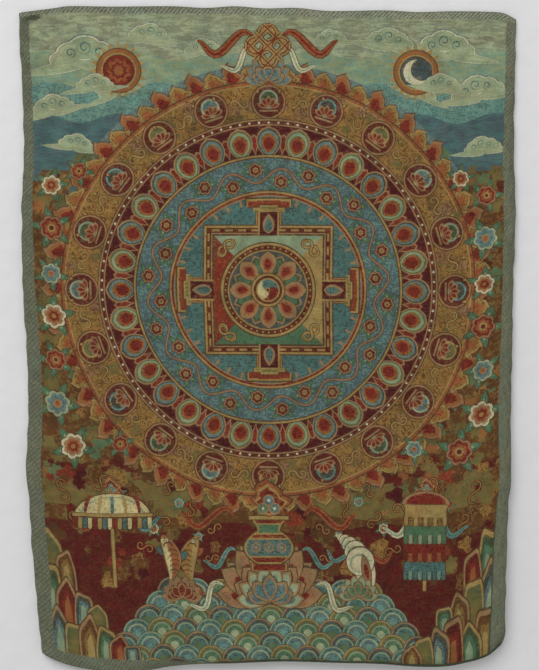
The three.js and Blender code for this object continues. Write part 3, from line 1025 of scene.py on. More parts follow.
# The left margin takes the darker copy, as painted shade.
for side, name, weave in ((-1, "left", "margin left shade"), (1, "right", "margin")):
    inner = [complex(side * (HALF - width), -down) for down, width in
             wavering(MARGIN, name, 0, CUT_HEIGHT, 60, 31)]
    if side > 0:
        paint("forest", ribbon([p for p in inner if p.imag < -DARK_LINE_FROM], 1.6))
    paint(weave, [complex(side * HALF, 0)] + inner + [complex(side * HALF, -CUT_HEIGHT)])
# First the painted shade of the curl, then the lower margin over it.
for weave, table, seed in (("forest", CURL_SHADE_STRIP, 34), ("margin", LOWER_MARGIN, 32)):
    inner = [complex(x, width - CUT_HEIGHT) for x, width in wavering(table, "width", -HALF, HALF, 50, seed)]
    paint(weave, [complex(-HALF, -CUT_HEIGHT)] + inner + [complex(HALF, -CUT_HEIGHT)])
# The top margin takes the lighter copy, as painted highlight.
inner = [complex(x, -width) for x, width in wavering(TOP_MARGIN, "width", -HALF, HALF, 50, 33)]
paint("margin top highlight", [complex(-HALF, 0)] + inner + [complex(HALF, 0)])
tell("margin")

# %% [markdown]
# ## Hanging the cloth
#
# A cloth is a surface, so one function turns any place on the flat cloth into a place in space. It
# reads the tables: how low a place hangs, how far the cloth bows forward there, which folds cross
# it, and how the last strip curls back into the lower hem. Numpy does this for all points at once.

# %% Smooth curves through the tables
def smooth(t):
    t = np.clip(t, 0, 1)
    return t * t * (3 - 2 * t)


def between(table, key, column, at):
    """Values between the rows of a table, on one smooth curve through all its rows."""
    keys, values = np.array(table[key], float), np.array(table[column], float)
    last = len(keys) - 1
    before, after = np.maximum(np.arange(last + 1) - 1, 0), np.minimum(np.arange(last + 1) + 1, last)
    slopes = (values[after] - values[before]) / (keys[after] - keys[before])
    i = np.clip(np.searchsorted(keys, at) - 1, 0, last - 1)
    span = keys[i + 1] - keys[i]
    t = np.clip((at - keys[i]) / span, 0, 1)
    leave, arrive = t * (1 - t) ** 2 * span * slopes[i], t**2 * (1 - t) * span * slopes[i + 1]
    return values[i] + (values[i + 1] - values[i]) * smooth(t) + leave - arrive


print(f"half way down, the middle bows {between(BOW, 'drop', 'middle', CUT_HEIGHT / 2):.1f} mm forward")


# %% Folds and bow
def fold_at(fold, across, drop):
    across1, drop1, across2, drop2, width, forward = fold
    run, fall = across2 - across1, drop2 - drop1
    t = np.clip(((across - across1) * run + (drop - drop1) * fall) / (run**2 + fall**2), 0, 1)
    gap = np.hypot(across - across1 - t * run, drop - drop1 - t * fall)
    return forward * np.exp(-((gap / width) ** 2))


def forward_at(across, drop):
    """How far a place stands forward of the flat band that holds the cloth."""
    side = np.where(across < 0, between(BOW, "drop", "left", drop), between(BOW, "drop", "right", drop))
    share = (across / HALF) ** 2
    bow = between(BOW, "drop", "middle", drop) * (1 - share) + side * share
    folds = sum(fold_at(fold, across, drop) for fold in FOLDS.values())
    from_edge = HALF - np.abs(across)
    roll = SIDE_ROLL_DEPTH * np.clip(1 - from_edge / SIDE_ROLL_WIDTH, 0, 1) ** 2
    pucker = 0.3 * np.sin(drop / 3.9 + 2 * np.sin(drop / 19 + across)) * np.exp(-from_edge / 9)
    slack = 0.35 * np.sin(across / 19 + 1.7) * np.sin(drop / 27 + 0.6 + across / 60)
    return bow + (folds + pucker + slack - roll) * smooth((drop - TOP_BAND) / FOLD_FADE)


print(f"with its folds, that place stands {forward_at(0.0, CUT_HEIGHT / 2):.1f} mm forward")


# %% Hanging places
def uneven_edge(across, drop):
    """A hand-turned edge is a little in or out from one stitch to the next."""
    wave = np.sin(drop / 2.3 + 2 * np.sin(drop / 31)) + np.sin(drop / 3.7 + across)
    return 0.16 * wave * np.sign(across) * np.exp((np.abs(across) - HALF) / 5)


def hang(across, down):
    """Places in space, in millimetres, of places on the flat cloth."""
    curl = np.radians(between(LOWER_EDGE, "across", "curl", across))
    radius = HEM_CURL / curl
    lowest = between(LOWER_EDGE, "across", "drop", across)
    curl_start = lowest - radius * np.sin(np.minimum(curl, math.pi / 2))
    top_drop = between(TOP_EDGE, "across", "drop", across) + EDGE_REACH
    in_band = np.clip(down / TOP_BAND, 0, 1)
    hanging = np.clip((down - TOP_BAND) / (CUT_HEIGHT - HEM_CURL - TOP_BAND), 0, 1)
    bent = curl * np.clip((down - CUT_HEIGHT + HEM_CURL) / HEM_CURL, 0, 1)
    hanging_drop = top_drop + (TOP_BAND - top_drop) * in_band + (curl_start - TOP_BAND) * hanging
    drop = hanging_drop + radius * np.sin(bent)
    forward = forward_at(across, hanging_drop) - radius * (1 - np.cos(bent))
    left = between(SIDE_EDGES, "drop", "left", drop) + EDGE_REACH
    right = between(SIDE_EDGES, "drop", "right", drop) - EDGE_REACH
    sideways = left + (right - left) * (across / CUT_WIDTH + 0.5) + uneven_edge(across, drop)
    return np.stack([sideways, -forward, -drop], axis=1)


def unit(vectors):
    return vectors / np.linalg.norm(vectors, axis=1, keepdims=True)


def facing(across, down, step=0.25):
    """The directions in which the cloth's face looks."""
    sideways = hang(np.minimum(across + step, HALF), down) - hang(np.maximum(across - step, -HALF), down)
    downwards = hang(across, np.minimum(down + step, CUT_HEIGHT)) - hang(across, np.maximum(down - step, 0))
    return unit(np.cross(downwards, sideways))


lower_middle = hang(np.zeros(1), np.full(1, CUT_HEIGHT))[0]
print("the middle of the lower edge hangs at", lower_middle.round(1).tolist())

# %% [markdown]
# ## From outlines to triangles
#
# The outlines lie over one another, as paint does, and most of their lines end up hidden. A first
# triangulation of them all tells which weave is on top where. Only the lines at which the weave
# changes are kept, and the smallest steps are dropped from them. A second triangulation then cuts
# the cloth along those lines and along a grid that is fine enough for its folds.

# %% Which weave is on top
EDGE_CLEAR = 2.2  # motifs stay this far inside the cloth
DOUBLED = 0.02  # points of one outline that are nearer than this are one point
TINY = 0.02  # square millimetres: outlines smaller than this are left out
SAME_PLACE = 1e-4  # points of all outlines that are nearer than this are one point


def signed_area(outline):
    return sum((a.conjugate() * b).imag for a, b in zip(outline, outline[1:] + outline[:1])) / 2


def kept_inside(outline, clear):
    """The outline inside the cloth, without doubled points and turned the way the triangulation wants."""
    points = outline
    for way, limit in ((1, HALF), (-1, HALF), (1j, 0), (-1j, CUT_HEIGHT)):
        past = [(p / way).real - limit + clear for p in points]
        cut = []
        for p, q, here, there in zip(points, points[1:] + points[:1], past, past[1:] + past[:1]):
            if here <= 0:
                cut.append(p)
            if here * there < 0:
                cut.append(p + (q - p) * here / (here - there))
        points = cut
    points = [p for p, before in zip(points, points[-1:] + points[:-1]) if abs(p - before) > DOUBLED]
    return points if signed_area(points) > 0 else points[::-1]


codes = {weave: code for code, weave in enumerate(WEAVES)}
corners, faces, face_codes = [], [], []
for outline, weave in picture:
    points = kept_inside(outline, 0 if weave.startswith("margin") else EDGE_CLEAR)
    if len(points) > 2 and signed_area(points) > TINY:
        faces.append(range(len(corners), len(corners) + len(points)))
        corners.extend((p.real, p.imag) for p in points)
        face_codes.append(codes[weave])
places, _, triangles, _, _, painted = delaunay_2d_cdt(corners, [], faces, 0, SAME_PLACE, True)
places, triangles = np.array([tuple(p) for p in places]), np.array(triangles)
top_code = np.array(face_codes)[[max(layers_here) for layers_here in painted]]
print(f"{len(corners)} corners drawn, {len(triangles)} triangles with the hidden lines")

# %% The lines at which the weave changes
SMALLEST_CORNER = 0.03  # square millimetres, about one crossing of the threads
ROUNDING = 1e-9
sides = np.sort(np.concatenate([triangles[:, [0, 1]], triangles[:, [1, 2]], triangles[:, [2, 0]]]), axis=1)
side_codes = np.tile(top_code, 3)
order = np.lexsort((sides[:, 1], sides[:, 0]))
sides, side_codes = sides[order], side_codes[order]
shared = (sides[1:] == sides[:-1]).all(axis=1)
seams = sides[1:][shared & (side_codes[1:] != side_codes[:-1])]


def thinned(lines, smallest):
    """Drops the points of the lines that make the smallest corners, the smallest corner first."""
    joined = {}
    for a, b in lines:
        joined.setdefault(a, set()).add(b)
        joined.setdefault(b, set()).add(a)
    at = {p: complex(*places[p]) for p in joined}

    def corner(p):
        a, b = joined[p]
        return abs(((at[a] - at[p]).conjugate() * (at[b] - at[p])).imag) / 2

    queue = [(corner(p), p) for p in joined if len(joined[p]) == 2]
    heapq.heapify(queue)
    while queue and queue[0][0] < smallest:
        size, p = heapq.heappop(queue)
        if len(joined.get(p, ())) != 2:
            continue
        if corner(p) > size + ROUNDING:
            heapq.heappush(queue, (corner(p), p))
            continue
        a, b = joined[p]
        if b in joined[a]:
            continue
        del joined[p]
        joined[a] = joined[a] - {p} | {b}
        joined[b] = joined[b] - {p} | {a}
        for neighbour in (a, b):
            if len(joined[neighbour]) == 2:
                heapq.heappush(queue, (corner(neighbour), neighbour))
    return np.array([(a, b) for a in joined for b in joined[a] if a < b])


all_seams = len(seams)
seams = thinned(seams.tolist(), SMALLEST_CORNER)
print(f"{len(seams)} lines between weaves are left of {all_seams}")

# %% The grid that follows the folds
HEM_WIDTH, HEM_STEP = 9.0, 0.5  # the turned hem, and half the width of the step at its inner side
EDGE_STEPS = np.array([0, 0.5, 1.2, 2.2, 3.4, 4.9, 6.6, HEM_WIDTH - HEM_STEP, HEM_WIDTH,
                       HEM_WIDTH + HEM_STEP])
GRID_COLUMNS, GRID_ROWS = 86, 112
LAST_ROWS = np.array([12, 10.8])  # up from the lower edge, to where its own steps begin
columns = np.concatenate([EDGE_STEPS - HALF,
                          np.linspace(EDGE_STEPS[-1] - HALF, HALF - EDGE_STEPS[-1], GRID_COLUMNS)[1:-1],
                          HALF - EDGE_STEPS[::-1]])
rows = np.concatenate([EDGE_STEPS, np.linspace(TOP_BAND, CUT_HEIGHT - HEM_CURL - 2, GRID_ROWS),
                       CUT_HEIGHT - LAST_ROWS, CUT_HEIGHT - EDGE_STEPS[::-1]])
grid_across, grid_down = (a.ravel() for a in np.meshgrid(columns, rows))

used, lines = np.unique(seams, return_inverse=True)
points = np.concatenate([np.stack([grid_across, -grid_down], axis=1), places[used]])
lines = lines.reshape(-1, 2) + len(grid_across)
front, _, front_faces, _, _, _ = delaunay_2d_cdt(points.tolist(), lines.tolist(), [], 0, SAME_PLACE, False)
front, front_faces = np.array([tuple(p) for p in front]), np.array(front_faces)
print(f"a grid of {len(columns)} by {len(rows)}")
print(f"{len(front)} points and {len(front_faces)} triangles on the cloth's face")

# %% The weave of each triangle
drawn = BVHTree.FromPolygons([(x, y, 0) for x, y in places.tolist()], triangles.tolist())
middles = front[front_faces].mean(axis=1)
hits = [drawn.ray_cast(Vector((x, y, 1)), Vector((0, 0, -1)))[2] for x, y in middles.tolist()]
front_codes = np.array([codes["margin"] if hit is None else top_code[hit] for hit in hits])
print(f"{sum(hit is None for hit in hits)} triangles of the face have no weave of their own")
print(f"{len(set(front_codes.tolist()))} weaves show")

# %% [markdown]
# ## The closed sheet
#
# A real cloth has a thickness, so the sheet is a closed body: the woven face, a plainer back on
# the same grid, and a half-round edge all round. The hem is the same cloth turned to the back, so
# there the back steps out by one more layer. Each point's direction is worked out from the surface
# itself and kept as a custom normal, because long thin triangles would shade unevenly without it.

# %% Face and back
def thickness(across, down):
    """The cloth's own layer, and how far the turned hem adds to it at the back."""
    from_edge = np.minimum(np.minimum(HALF - np.abs(across), down), CUT_HEIGHT - down)
    in_hem = 1 - smooth(from_edge - HEM_WIDTH + HEM_STEP)
    return CLOTH_THICKNESS, (HEM_THICKNESS - CLOTH_THICKNESS) * in_hem


across, down = front[:, 0], -front[:, 1]
normals = facing(across, down)
front_places = hang(across, down) + normals * CLOTH_THICKNESS / 2
back_normals = facing(grid_across, grid_down)
cloth_layer, hem_layer = thickness(grid_across, grid_down)
back_places = hang(grid_across, grid_down) - back_normals * (cloth_layer / 2 + hem_layer)[:, None]
print(f"{len(front_places)} points in front, {len(back_places)} behind")


# %% Round edge
ROUND_STEPS = 3
EDGE_WRAP = 2.4  # how much flat cloth the round edge takes up
FROM_RIM = 1.0  # a place this far in tells which way is outward


def round_the_edge():
    """The grid's outermost places, anticlockwise as seen from the front."""
    steps = [(c, rows[-1]) for c in columns] + [(columns[-1], r) for r in rows[-2::-1]]
    steps += [(c, rows[0]) for c in columns[-2::-1]] + [(columns[0], r) for r in rows[1:-1]]
    return np.array(steps)


def names_at(wanted, across, down):
    """The numbers of the points that lie at the wanted places."""
    names = {(round(x, 3), round(y, 3)): k for k, (x, y) in enumerate(zip(across, down))}
    return np.array([names[round(x, 3), round(y, 3)] for x, y in wanted])


rim = round_the_edge()
rim_front = names_at(rim, across, down)
rim_back = names_at(rim, grid_across, grid_down) + len(front)
inward = np.clip(rim, [FROM_RIM - HALF, FROM_RIM], [HALF - FROM_RIM, CUT_HEIGHT - FROM_RIM])
outward = unit(hang(*rim.T) - hang(*inward.T))
flat_outward = unit(rim - inward)
near, far = front_places[rim_front], back_places[rim_back - len(front)]
half = (near - far) / 2
edge_places, edge_normals, edge_flat = [], [], []
for k in range(1, ROUND_STEPS + 1):
    angle = math.pi * k / (ROUND_STEPS + 1)
    reach = np.linalg.norm(half, axis=1, keepdims=True) * math.sin(angle)
    edge_places.append((near + far) / 2 + half * math.cos(angle) + outward * reach)
    edge_normals.append(unit(half) * math.cos(angle) + outward * math.sin(angle))
    edge_flat.append(rim + flat_outward * EDGE_WRAP * k / (ROUND_STEPS + 1))
print(f"{len(rim)} places round the edge")

# %% Faces of the back and the edge
edge_rows = [rim_front]
for k in range(ROUND_STEPS):
    edge_rows.append(len(front) + len(grid_across) + k * len(rim) + np.arange(len(rim)))
edge_rows.append(rim_back)
following = np.roll(np.arange(len(rim)), -1)
edge_faces = []
for upper, lower in zip(edge_rows, edge_rows[1:]):
    edge_faces += np.stack([upper[following], upper, lower, lower[following]], axis=1).tolist()
grid = np.arange(len(grid_across)).reshape(len(rows), len(columns)) + len(front)
back_faces = np.stack([grid[:-1, :-1], grid[:-1, 1:], grid[1:, 1:], grid[1:, :-1]], axis=-1).reshape(-1, 4)

sheet = bpy.data.meshes.new("brocade_cloth")
all_places = np.concatenate([front_places, back_places] + edge_places) * MM
all_normals = np.concatenate([normals, -back_normals] + edge_normals)
sheet.from_pydata(all_places.tolist(), [], front_faces.tolist() + back_faces.tolist() + edge_faces)
sheet.validate()
sheet.shade_smooth()
sheet.normals_split_custom_set_from_vertices(unit(all_normals).tolist())
cloth = bpy.data.objects.new("brocade_cloth", sheet)
bpy.context.scene.collection.objects.link(cloth)
triangle_count = len(front_faces) + 2 * len(back_faces) + 2 * len(edge_faces)
print(f"the sheet has {triangle_count} triangles; {len(sheet.polygons)} faces")

# %% How far the sheet lies from the solid
SAMPLE_STEP = 23  # one point in so many is measured
solid = BVHTree.FromObject(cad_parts["thangka_cloth"], bpy.context.evaluated_depsgraph_get())
gaps = [solid.find_nearest(Vector(p))[3] / MM for p in all_places[::SAMPLE_STEP].tolist()]
print(f"from the solid: {np.mean(gaps):.2f} mm on average, {np.max(gaps):.2f} mm at most")

# %% [markdown]
# ## What the material reads
#
# Each point keeps its place on the flat cloth, so that the weave and the painted shade follow the threads
# however the cloth hangs. Each face keeps its two yarns, and the number, share and strength of its pattern.
# Each point also keeps a stray yarn. On the face it is the mean colour of the weaves that meet
# there, so that the line between two weaves isn't cut as if by a knife. On the back it is the yarn
# that floats over that place. The map lays the face and the back side by side, which keeps the
# threads sharp where colours are baked.

# %% Places on the flat cloth
def keep(name, kind, domain, values, field):
    made = sheet.attributes.new(name, kind, domain)
    made.data.foreach_set(field, np.asarray(values, np.float32).ravel())


flat_front = np.stack([across, down], axis=1)
flat_back = np.stack([grid_across, grid_down], axis=1)
flat = np.concatenate([flat_front, flat_back] + edge_flat)
side = np.concatenate([np.zeros(len(front)), np.ones(len(flat_back))] +
                      [np.full(len(rim), (k + 1) / (ROUND_STEPS + 1)) for k in range(ROUND_STEPS)])
keep("flat", "FLOAT_VECTOR", "POINT", np.column_stack([flat[:, 0], -flat[:, 1], side]), "vector")
print(f"{len(flat)} places kept")


# %% Yarns and pattern of each face
def linear(hex_colour):
    """The yarn's colour as light, from the way it is written."""
    parts = [int(hex_colour[k:k + 2], 16) / 255 for k in (0, 2, 4)]
    return [p / 12.92 if p <= 0.04045 else ((p + 0.055) / 1.055) ** 2.4 for p in parts] + [1.0]


BACK_CODE = len(WEAVES)
weave_rows = list(WEAVES.values()) + [("ochre", "brown", "fleck", 0.5)]
yarn_one = np.array([linear(YARNS[first]) for first, _, _, _ in weave_rows])
yarn_two = np.array([linear(YARNS[second]) for _, second, _, _ in weave_rows])
pattern = np.array([[list(PATTERNS).index(name), share, PATTERNS[name]] for _, _, name, share in weave_rows])

back_middles = flat_back[back_faces - len(front)].mean(axis=1)
in_hem = np.minimum(HALF - np.abs(back_middles[:, 0]),
                    np.minimum(back_middles[:, 1], CUT_HEIGHT - back_middles[:, 1])) < HEM_WIDTH
back_codes = np.where(in_hem, codes["margin"], BACK_CODE)
face_code = np.concatenate([front_codes, back_codes, np.full(len(edge_faces), codes["margin"])])
keep("yarn one", "FLOAT_COLOR", "FACE", yarn_one[face_code], "color")
keep("yarn two", "FLOAT_COLOR", "FACE", yarn_two[face_code], "color")
keep("pattern", "FLOAT_VECTOR", "FACE", pattern[face_code], "vector")
print(f"{sum(in_hem)} of the back's {len(back_faces)} faces are hem")

# %% Stray yarn of each point
FLOAT_REACH = 1.3  # the back's floats gather the yarns this far round a place
FLOAT_SHIFTS = ((0, 0), (-FLOAT_REACH, 0), (FLOAT_REACH, 0), (0, -FLOAT_REACH), (0, FLOAT_REACH))
from_afar = yarn_one + (yarn_two - yarn_one) * (pattern[:, 1] * pattern[:, 2])[:, None]
first_edge_point = len(front) + len(flat_back)
stray = np.tile(from_afar[codes["margin"]], (len(flat), 1))
stray[:first_edge_point] = 0
np.add.at(stray, front_faces.ravel(), np.repeat(from_afar[front_codes], 3, axis=0))
stray[:len(front)] /= np.bincount(front_faces.ravel(), minlength=len(front))[:, None]
flat_tree = BVHTree.FromPolygons([(x, y, 0.0) for x, y in flat_front.tolist()], front_faces.tolist())
for shift_x, shift_y in FLOAT_SHIFTS:
    nearest = [flat_tree.find_nearest((x + shift_x, y + shift_y, 0.0))[2] for x, y in flat_back.tolist()]
    stray[len(front):first_edge_point] += yarn_two[front_codes[nearest]] / len(FLOAT_SHIFTS)
keep("stray yarn", "FLOAT_COLOR", "POINT", stray, "color")
print("the face's mean stray colour, as light:", np.round(stray[:len(front), :3].mean(axis=0), 3).tolist())

# %% Map for baking
MAP_GAP = 4.0  # millimetres left clear round the face and the back
corner_points = np.zeros(len(sheet.loops), np.int32)
sheet.loops.foreach_get("vertex_index", corner_points)
chart = flat[corner_points]
first_back = 3 * len(front_faces)
first_edge = first_back + 4 * len(back_faces)
last_edge_row = len(chart) - 4 * len(rim)
seen_from_behind = np.zeros(len(chart), bool)
seen_from_behind[first_back:first_edge] = True
on_far_rim = np.zeros(len(chart), bool)
on_far_rim[last_edge_row:] = corner_points[last_edge_row:] < first_edge_point
far_place = dict(zip(rim_back.tolist(), (rim + flat_outward * EDGE_WRAP).tolist()))
chart[on_far_rim] = [far_place[p] for p in corner_points[on_far_rim].tolist()]
share_across = (np.where(seen_from_behind, -1, 1) * chart[:, 0] + HALF + MAP_GAP) / (CUT_WIDTH + 2 * MAP_GAP)
share_up = 1 - (chart[:, 1] + MAP_GAP) / (CUT_HEIGHT + 2 * MAP_GAP)
bake_map = sheet.uv_layers.new(name="OFBake")
map_places = np.column_stack([(share_across + seen_from_behind) / 2, share_up])
bake_map.uv.foreach_set("vector", map_places.astype(np.float32).ravel())
print("the map runs from", np.round(map_places.min(axis=0), 3), "to", np.round(map_places.max(axis=0), 3))

# %% [markdown]
# ## Shader maths
#
# The material's patterns are sums, so they are written as sums. The class below wraps a socket:
# a Python operator on it adds the Math node that does the same. Wiring each node by hand would take
# several times the lines, and the weave would be hard to read in them.

# %% Sockets that add up
class Thread:
    """A socket of the material. Operators add Math nodes, and node() adds any other node."""

    def __init__(self, tree, socket=None):
        self.tree, self.socket = tree, socket

    def node(self, kind, settings=None, inputs=None, output=0):
        made = self.tree.nodes.new(kind)
        for name, value in (settings or {}).items():
            setattr(made, name, value)
        for name, value in (inputs or {}).items():
            if isinstance(value, Thread):
                self.tree.links.new(value.socket, made.inputs[name])
            else:
                made.inputs[name].default_value = value
        return Thread(self.tree, made.outputs[output])

    def maths(self, operation, first, second=0.0):
        return self.node("ShaderNodeMath", {"operation": operation}, {0: first, 1: second})

    def __abs__(self):
        return self.maths("ABSOLUTE", self)

    def floor(self):
        return self.maths("FLOOR", self)

    def sine(self):
        return self.maths("SINE", self)

    def parts(self):
        """The three numbers of a place."""
        split = self.node("ShaderNodeSeparateXYZ", {}, {"Vector": self})
        return [Thread(self.tree, split.socket.node.outputs[axis]) for axis in "XYZ"]

    def sharpened(self, start, end):
        """0 up to start and 1 from end, with a soft step between."""
        return self.node("ShaderNodeMapRange", {"interpolation_type": "SMOOTHSTEP"},
                         {"Value": self, "From Min": start, "From Max": end})

    def mixed(self, first, second):
        """The colour first where this is 0, and second where it is 1."""
        made = self.tree.nodes.new("ShaderNodeMix")
        made.data_type = "RGBA"
        self.tree.links.new(self.socket, made.inputs["Factor"])
        for value, name in ((first, "A_Color"), (second, "B_Color")):
            target = next(i for i in made.inputs if i.identifier == name)
            if isinstance(value, Thread):
                self.tree.links.new(value.socket, target)
            else:
                target.default_value = value
        return Thread(self.tree, next(o for o in made.outputs if o.identifier == "Result_Color"))


OPERATORS = {"add": "ADD", "sub": "SUBTRACT", "mul": "MULTIPLY", "truediv": "DIVIDE",
             "mod": "FLOORED_MODULO"}
for name, operation in OPERATORS.items():
    setattr(Thread, f"__{name}__", lambda self, other, way=operation: self.maths(way, self, other))
    setattr(Thread, f"__r{name}__", lambda self, other, way=operation: self.maths(way, other, self))


def new_material(name, **finish):
    """A material, its tree and its surface, whose settings are written with _ for a space."""
    material = bpy.data.materials.new(name)
    material.use_nodes = True
    surface = material.node_tree.nodes["Principled BSDF"]
    for setting, value in finish.items():
        surface.inputs[setting.replace("_", " ")].default_value = value
    return material, Thread(material.node_tree), surface


# %% [markdown]
# ## The brocade
#
# Seven patterns say where the second yarn comes to the face. Each is a height between 0 and 1 over
# the flat cloth, and the second yarn shows where the height is under the face's share. A fine
# thread-by-thread unevenness lies over all of them, and a slow one over the whole cloth. Single
# threads stray over the line between two weaves, and on the back long floats let the picture show
# through dimly. Images of cloth could do all this too, but they would repeat and they would blur.

# %% Threads and noise of the flat cloth
WARP_PITCH, WEFT_PITCH = 0.62, 0.55
brocade, yarn, surface = new_material("brocade", Roughness=0.88, Specular_IOR_Level=0.16, Sheen_Weight=0.03,
                                      Sheen_Roughness=0.5)


def read(name, output):
    """What each point or face of the sheet keeps under a name."""
    return yarn.node("ShaderNodeAttribute", {"attribute_name": name}, output=output)


def spread(height, low=0.3, high=0.7):
    """Noise stretched so that it uses the whole way from 0 to 1."""
    return yarn.node("ShaderNodeMapRange", {"clamp": True},
                     {"Value": height, "From Min": low, "From Max": high})


def noise(size_across, size_up, detail=1.0, distortion=0.0, shift=0.0):
    """Noise with lumps of one size across and another up the cloth, in millimetres."""
    vector = yarn.node("ShaderNodeVectorMath", {"operation": "MULTIPLY"},
                       {0: flat_place, 1: (1 / size_across, 1 / size_up, 0)})
    facts = {"Vector": vector, "W": shift, "Scale": 1.0, "Detail": detail, "Distortion": distortion}
    return yarn.node("ShaderNodeTexNoise", {"noise_dimensions": "4D"}, facts)


def crossing_chance():
    """A number between 0 and 1 for each crossing of the threads."""
    cell = yarn.node("ShaderNodeCombineXYZ", {}, {"X": (at_x / WARP_PITCH).floor(),
                                                  "Y": (at_y / WEFT_PITCH).floor()})
    return yarn.node("ShaderNodeTexWhiteNoise", {"noise_dimensions": "2D"}, {"Vector": cell})


def float_chance(along, aside, length, pitch, shift):
    """A number between 0 and 1 for each float, a short run of one thread. Each thread has its own places."""
    thread = (aside / pitch).floor() + shift
    start = yarn.node("ShaderNodeTexWhiteNoise", {"noise_dimensions": "1D"}, {"W": thread})
    cell = yarn.node("ShaderNodeCombineXYZ", {}, {"X": thread, "Y": (along / length + start).floor()})
    return yarn.node("ShaderNodeTexWhiteNoise", {"noise_dimensions": "2D"}, {"Vector": cell})


flat_place = read("flat", "Vector")
at_x, at_y, at_side = flat_place.parts()
code, second_share, strength = read("pattern", "Vector").parts()
first_yarn = read("yarn one", "Color")
second_yarn = read("yarn two", "Color")
stray_yarn = read("stray yarn", "Color")
fine = crossing_chance()
upright = float_chance(at_y, at_x, 3.2 * WEFT_PITCH, WARP_PITCH, 17.0)
level = float_chance(at_x, at_y, 3.0 * WARP_PITCH, WEFT_PITCH, 59.0)
print(f"threads {WARP_PITCH} by {WEFT_PITCH} mm, read by {len(yarn.tree.nodes)} nodes")

# %% The brocade's patterns
TWILL_ACROSS, TWILL_UP = 2.5, 3.1  # from one slanted line to the next, along and up the cloth
COURSE_UP = 2.2  # from one level course to the next


def zigzag(height):
    """0 at every half and 1 at every whole number."""
    return abs(height % 1.0 - 0.5)


curls = noise(5.4, 5.0, distortion=1.2)
blots = spread(noise(2.5, 2.2, shift=2.0))
wander = noise(7.0, 9.0, shift=4.0)
nubs = spread(noise(1.3, 1.5, shift=6.0))
lower = upright.maths("MINIMUM", upright, level)
heights = {
    "plain": lower * (2.0 - lower),
    "filigree": (zigzag(curls * 8.0) * 2.0) * 0.55 + blots * 0.45,
    "dapple": spread(noise(3.0, 2.6, 2.0, 0.8, 3.0)),
    "fleck": spread(noise(0.8, 2.6, 1.0, 0.3, 5.0)),
    "cloud": spread(noise(9.0, 2.2, 2.0, 0.9, 7.0)),
    "course": zigzag(at_y / COURSE_UP + noise(4.0, 9.0, shift=9.0)) * 2.0,
    "twill": zigzag(at_x / TWILL_ACROSS - at_y / TWILL_UP + wander * 0.5) * 1.1 + nubs * 0.5,
}
chosen = 0.0
for k, name in enumerate(PATTERNS):
    chosen = chosen + heights[name] * yarn.maths("COMPARE", code, float(k))
uneven = chosen + (fine - 0.5) * 0.2
mask = (second_share - uneven).sharpened(-0.10, 0.10) * strength
print(f"{len(heights)} patterns, {len(yarn.tree.nodes)} nodes so far")

# %% Stray threads, painted shade and the back's floats
# Painted shade on the face: dark patches at the folded top left corner and a faint one along the top edge.
PAINTED_SHADES = (  # middle, across and up from the middle of the top edge, half width, half height, depth
    (-141.5, -4.8, 4.6, 2.3, 0.9),
    (-145.5, -6.2, 3.6, 4.2, 0.35),
    (-92, -0.5, 72, 3.4, 0.22),
)
STRAY_SHARE = 0.62  # how much of the line between two weaves its stray threads take over
LONG_RUN, LONG_PITCH = 8.0, 0.9  # the back's floats
on_face = at_side.sharpened(0.1, 0.0)
woven = mask.mixed(first_yarn, second_yarn)
astray = (fine * 0.5 + level * 0.5).sharpened(0.3, 0.85) * on_face * STRAY_SHARE
woven = astray.mixed(woven, stray_yarn)
# Each patch darkens the face towards the dark colour, as painted shade.
for across_shade, up_shade, width, height, depth in PAINTED_SHADES:
    gap_x, gap_y = (at_x - across_shade) / width, (at_y - up_shade) / height
    soft = (gap_x * gap_x + gap_y * gap_y + (fine - 0.5) * 0.8).sharpened(1.5, 0.3)
    woven = (soft * on_face * depth).mixed(woven, linear(YARNS["painted_shade"]))
long_runs = float_chance(at_x, at_y, LONG_RUN, LONG_PITCH, 31.0).sharpened(0.15, 0.85) * 0.75 + 0.15
in_picture = 1.0 - yarn.maths("COMPARE", code, float(list(PATTERNS).index("twill")))
off_hem = in_picture * at_side.sharpened(0.9, 1.0)
woven = (long_runs * off_hem).mixed(woven, stray_yarn)
print(f"{len(PAINTED_SHADES)} painted_shades, {len(yarn.tree.nodes)} nodes so far")

# %% Light and shade of the threads, and their relief
COOL, WARM = (0.90, 0.98, 0.95, 1), (1.02, 0.95, 0.87, 1)  # how far the dye drifts over the cloth
grain = 0.81 + fine * 0.10 + upright * 0.12 + level * 0.12
slow = spread(noise(70.0, 90.0, 3.0, 0.0, 11.0)) * 0.10 + 0.95
mottled = (spread(noise(11.0, 8.0, 2.0, 0.4, 13.0)) - 0.5) * (in_picture * 0.14 + 0.26) + 1.0
brightness = grain * slow * mottled
tinted = spread(noise(15.0, 12.0, 2.0, 0.0, 15.0)).mixed(COOL, WARM)
dyed = yarn.node("ShaderNodeVectorMath", {"operation": "MULTIPLY"}, {0: woven, 1: tinted})
toned = yarn.node("ShaderNodeVectorMath", {"operation": "SCALE"}, {"Vector": dyed, "Scale": brightness})
yarn.tree.links.new(toned.socket, surface.inputs["Base Color"])
ribs = (at_x * (math.tau / WARP_PITCH)).sine() * 0.25 + (at_y * (math.tau / WEFT_PITCH)).sine() * 0.25
height = ribs + mask * -0.5 + fine * 0.5
relief = yarn.node("ShaderNodeBump", {}, {"Height": height, "Strength": 0.35, "Distance": 0.00025})
yarn.tree.links.new(relief.socket, surface.inputs["Normal"])
sheet.materials.append(brocade)
print(f"the brocade's material has {len(yarn.tree.nodes)} nodes")

# %% [markdown]
# ## Wall, floor, light and camera
#
# The cloth hangs against a pale wall, which is only a backdrop: it shows to the camera from the
# front and is clear to everything else, so that it neither lights the cloth nor hides its back.
# One large lamp at the upper left, as a window, and a white room give soft light with one side.

# %% Backdrop and floor
WALL_BEHIND = 0.0022
WALL_HALF, WALL_TOP, FLOOR_HALF, FLOOR_DROP = 1.5, 1.2, 4, -0.62


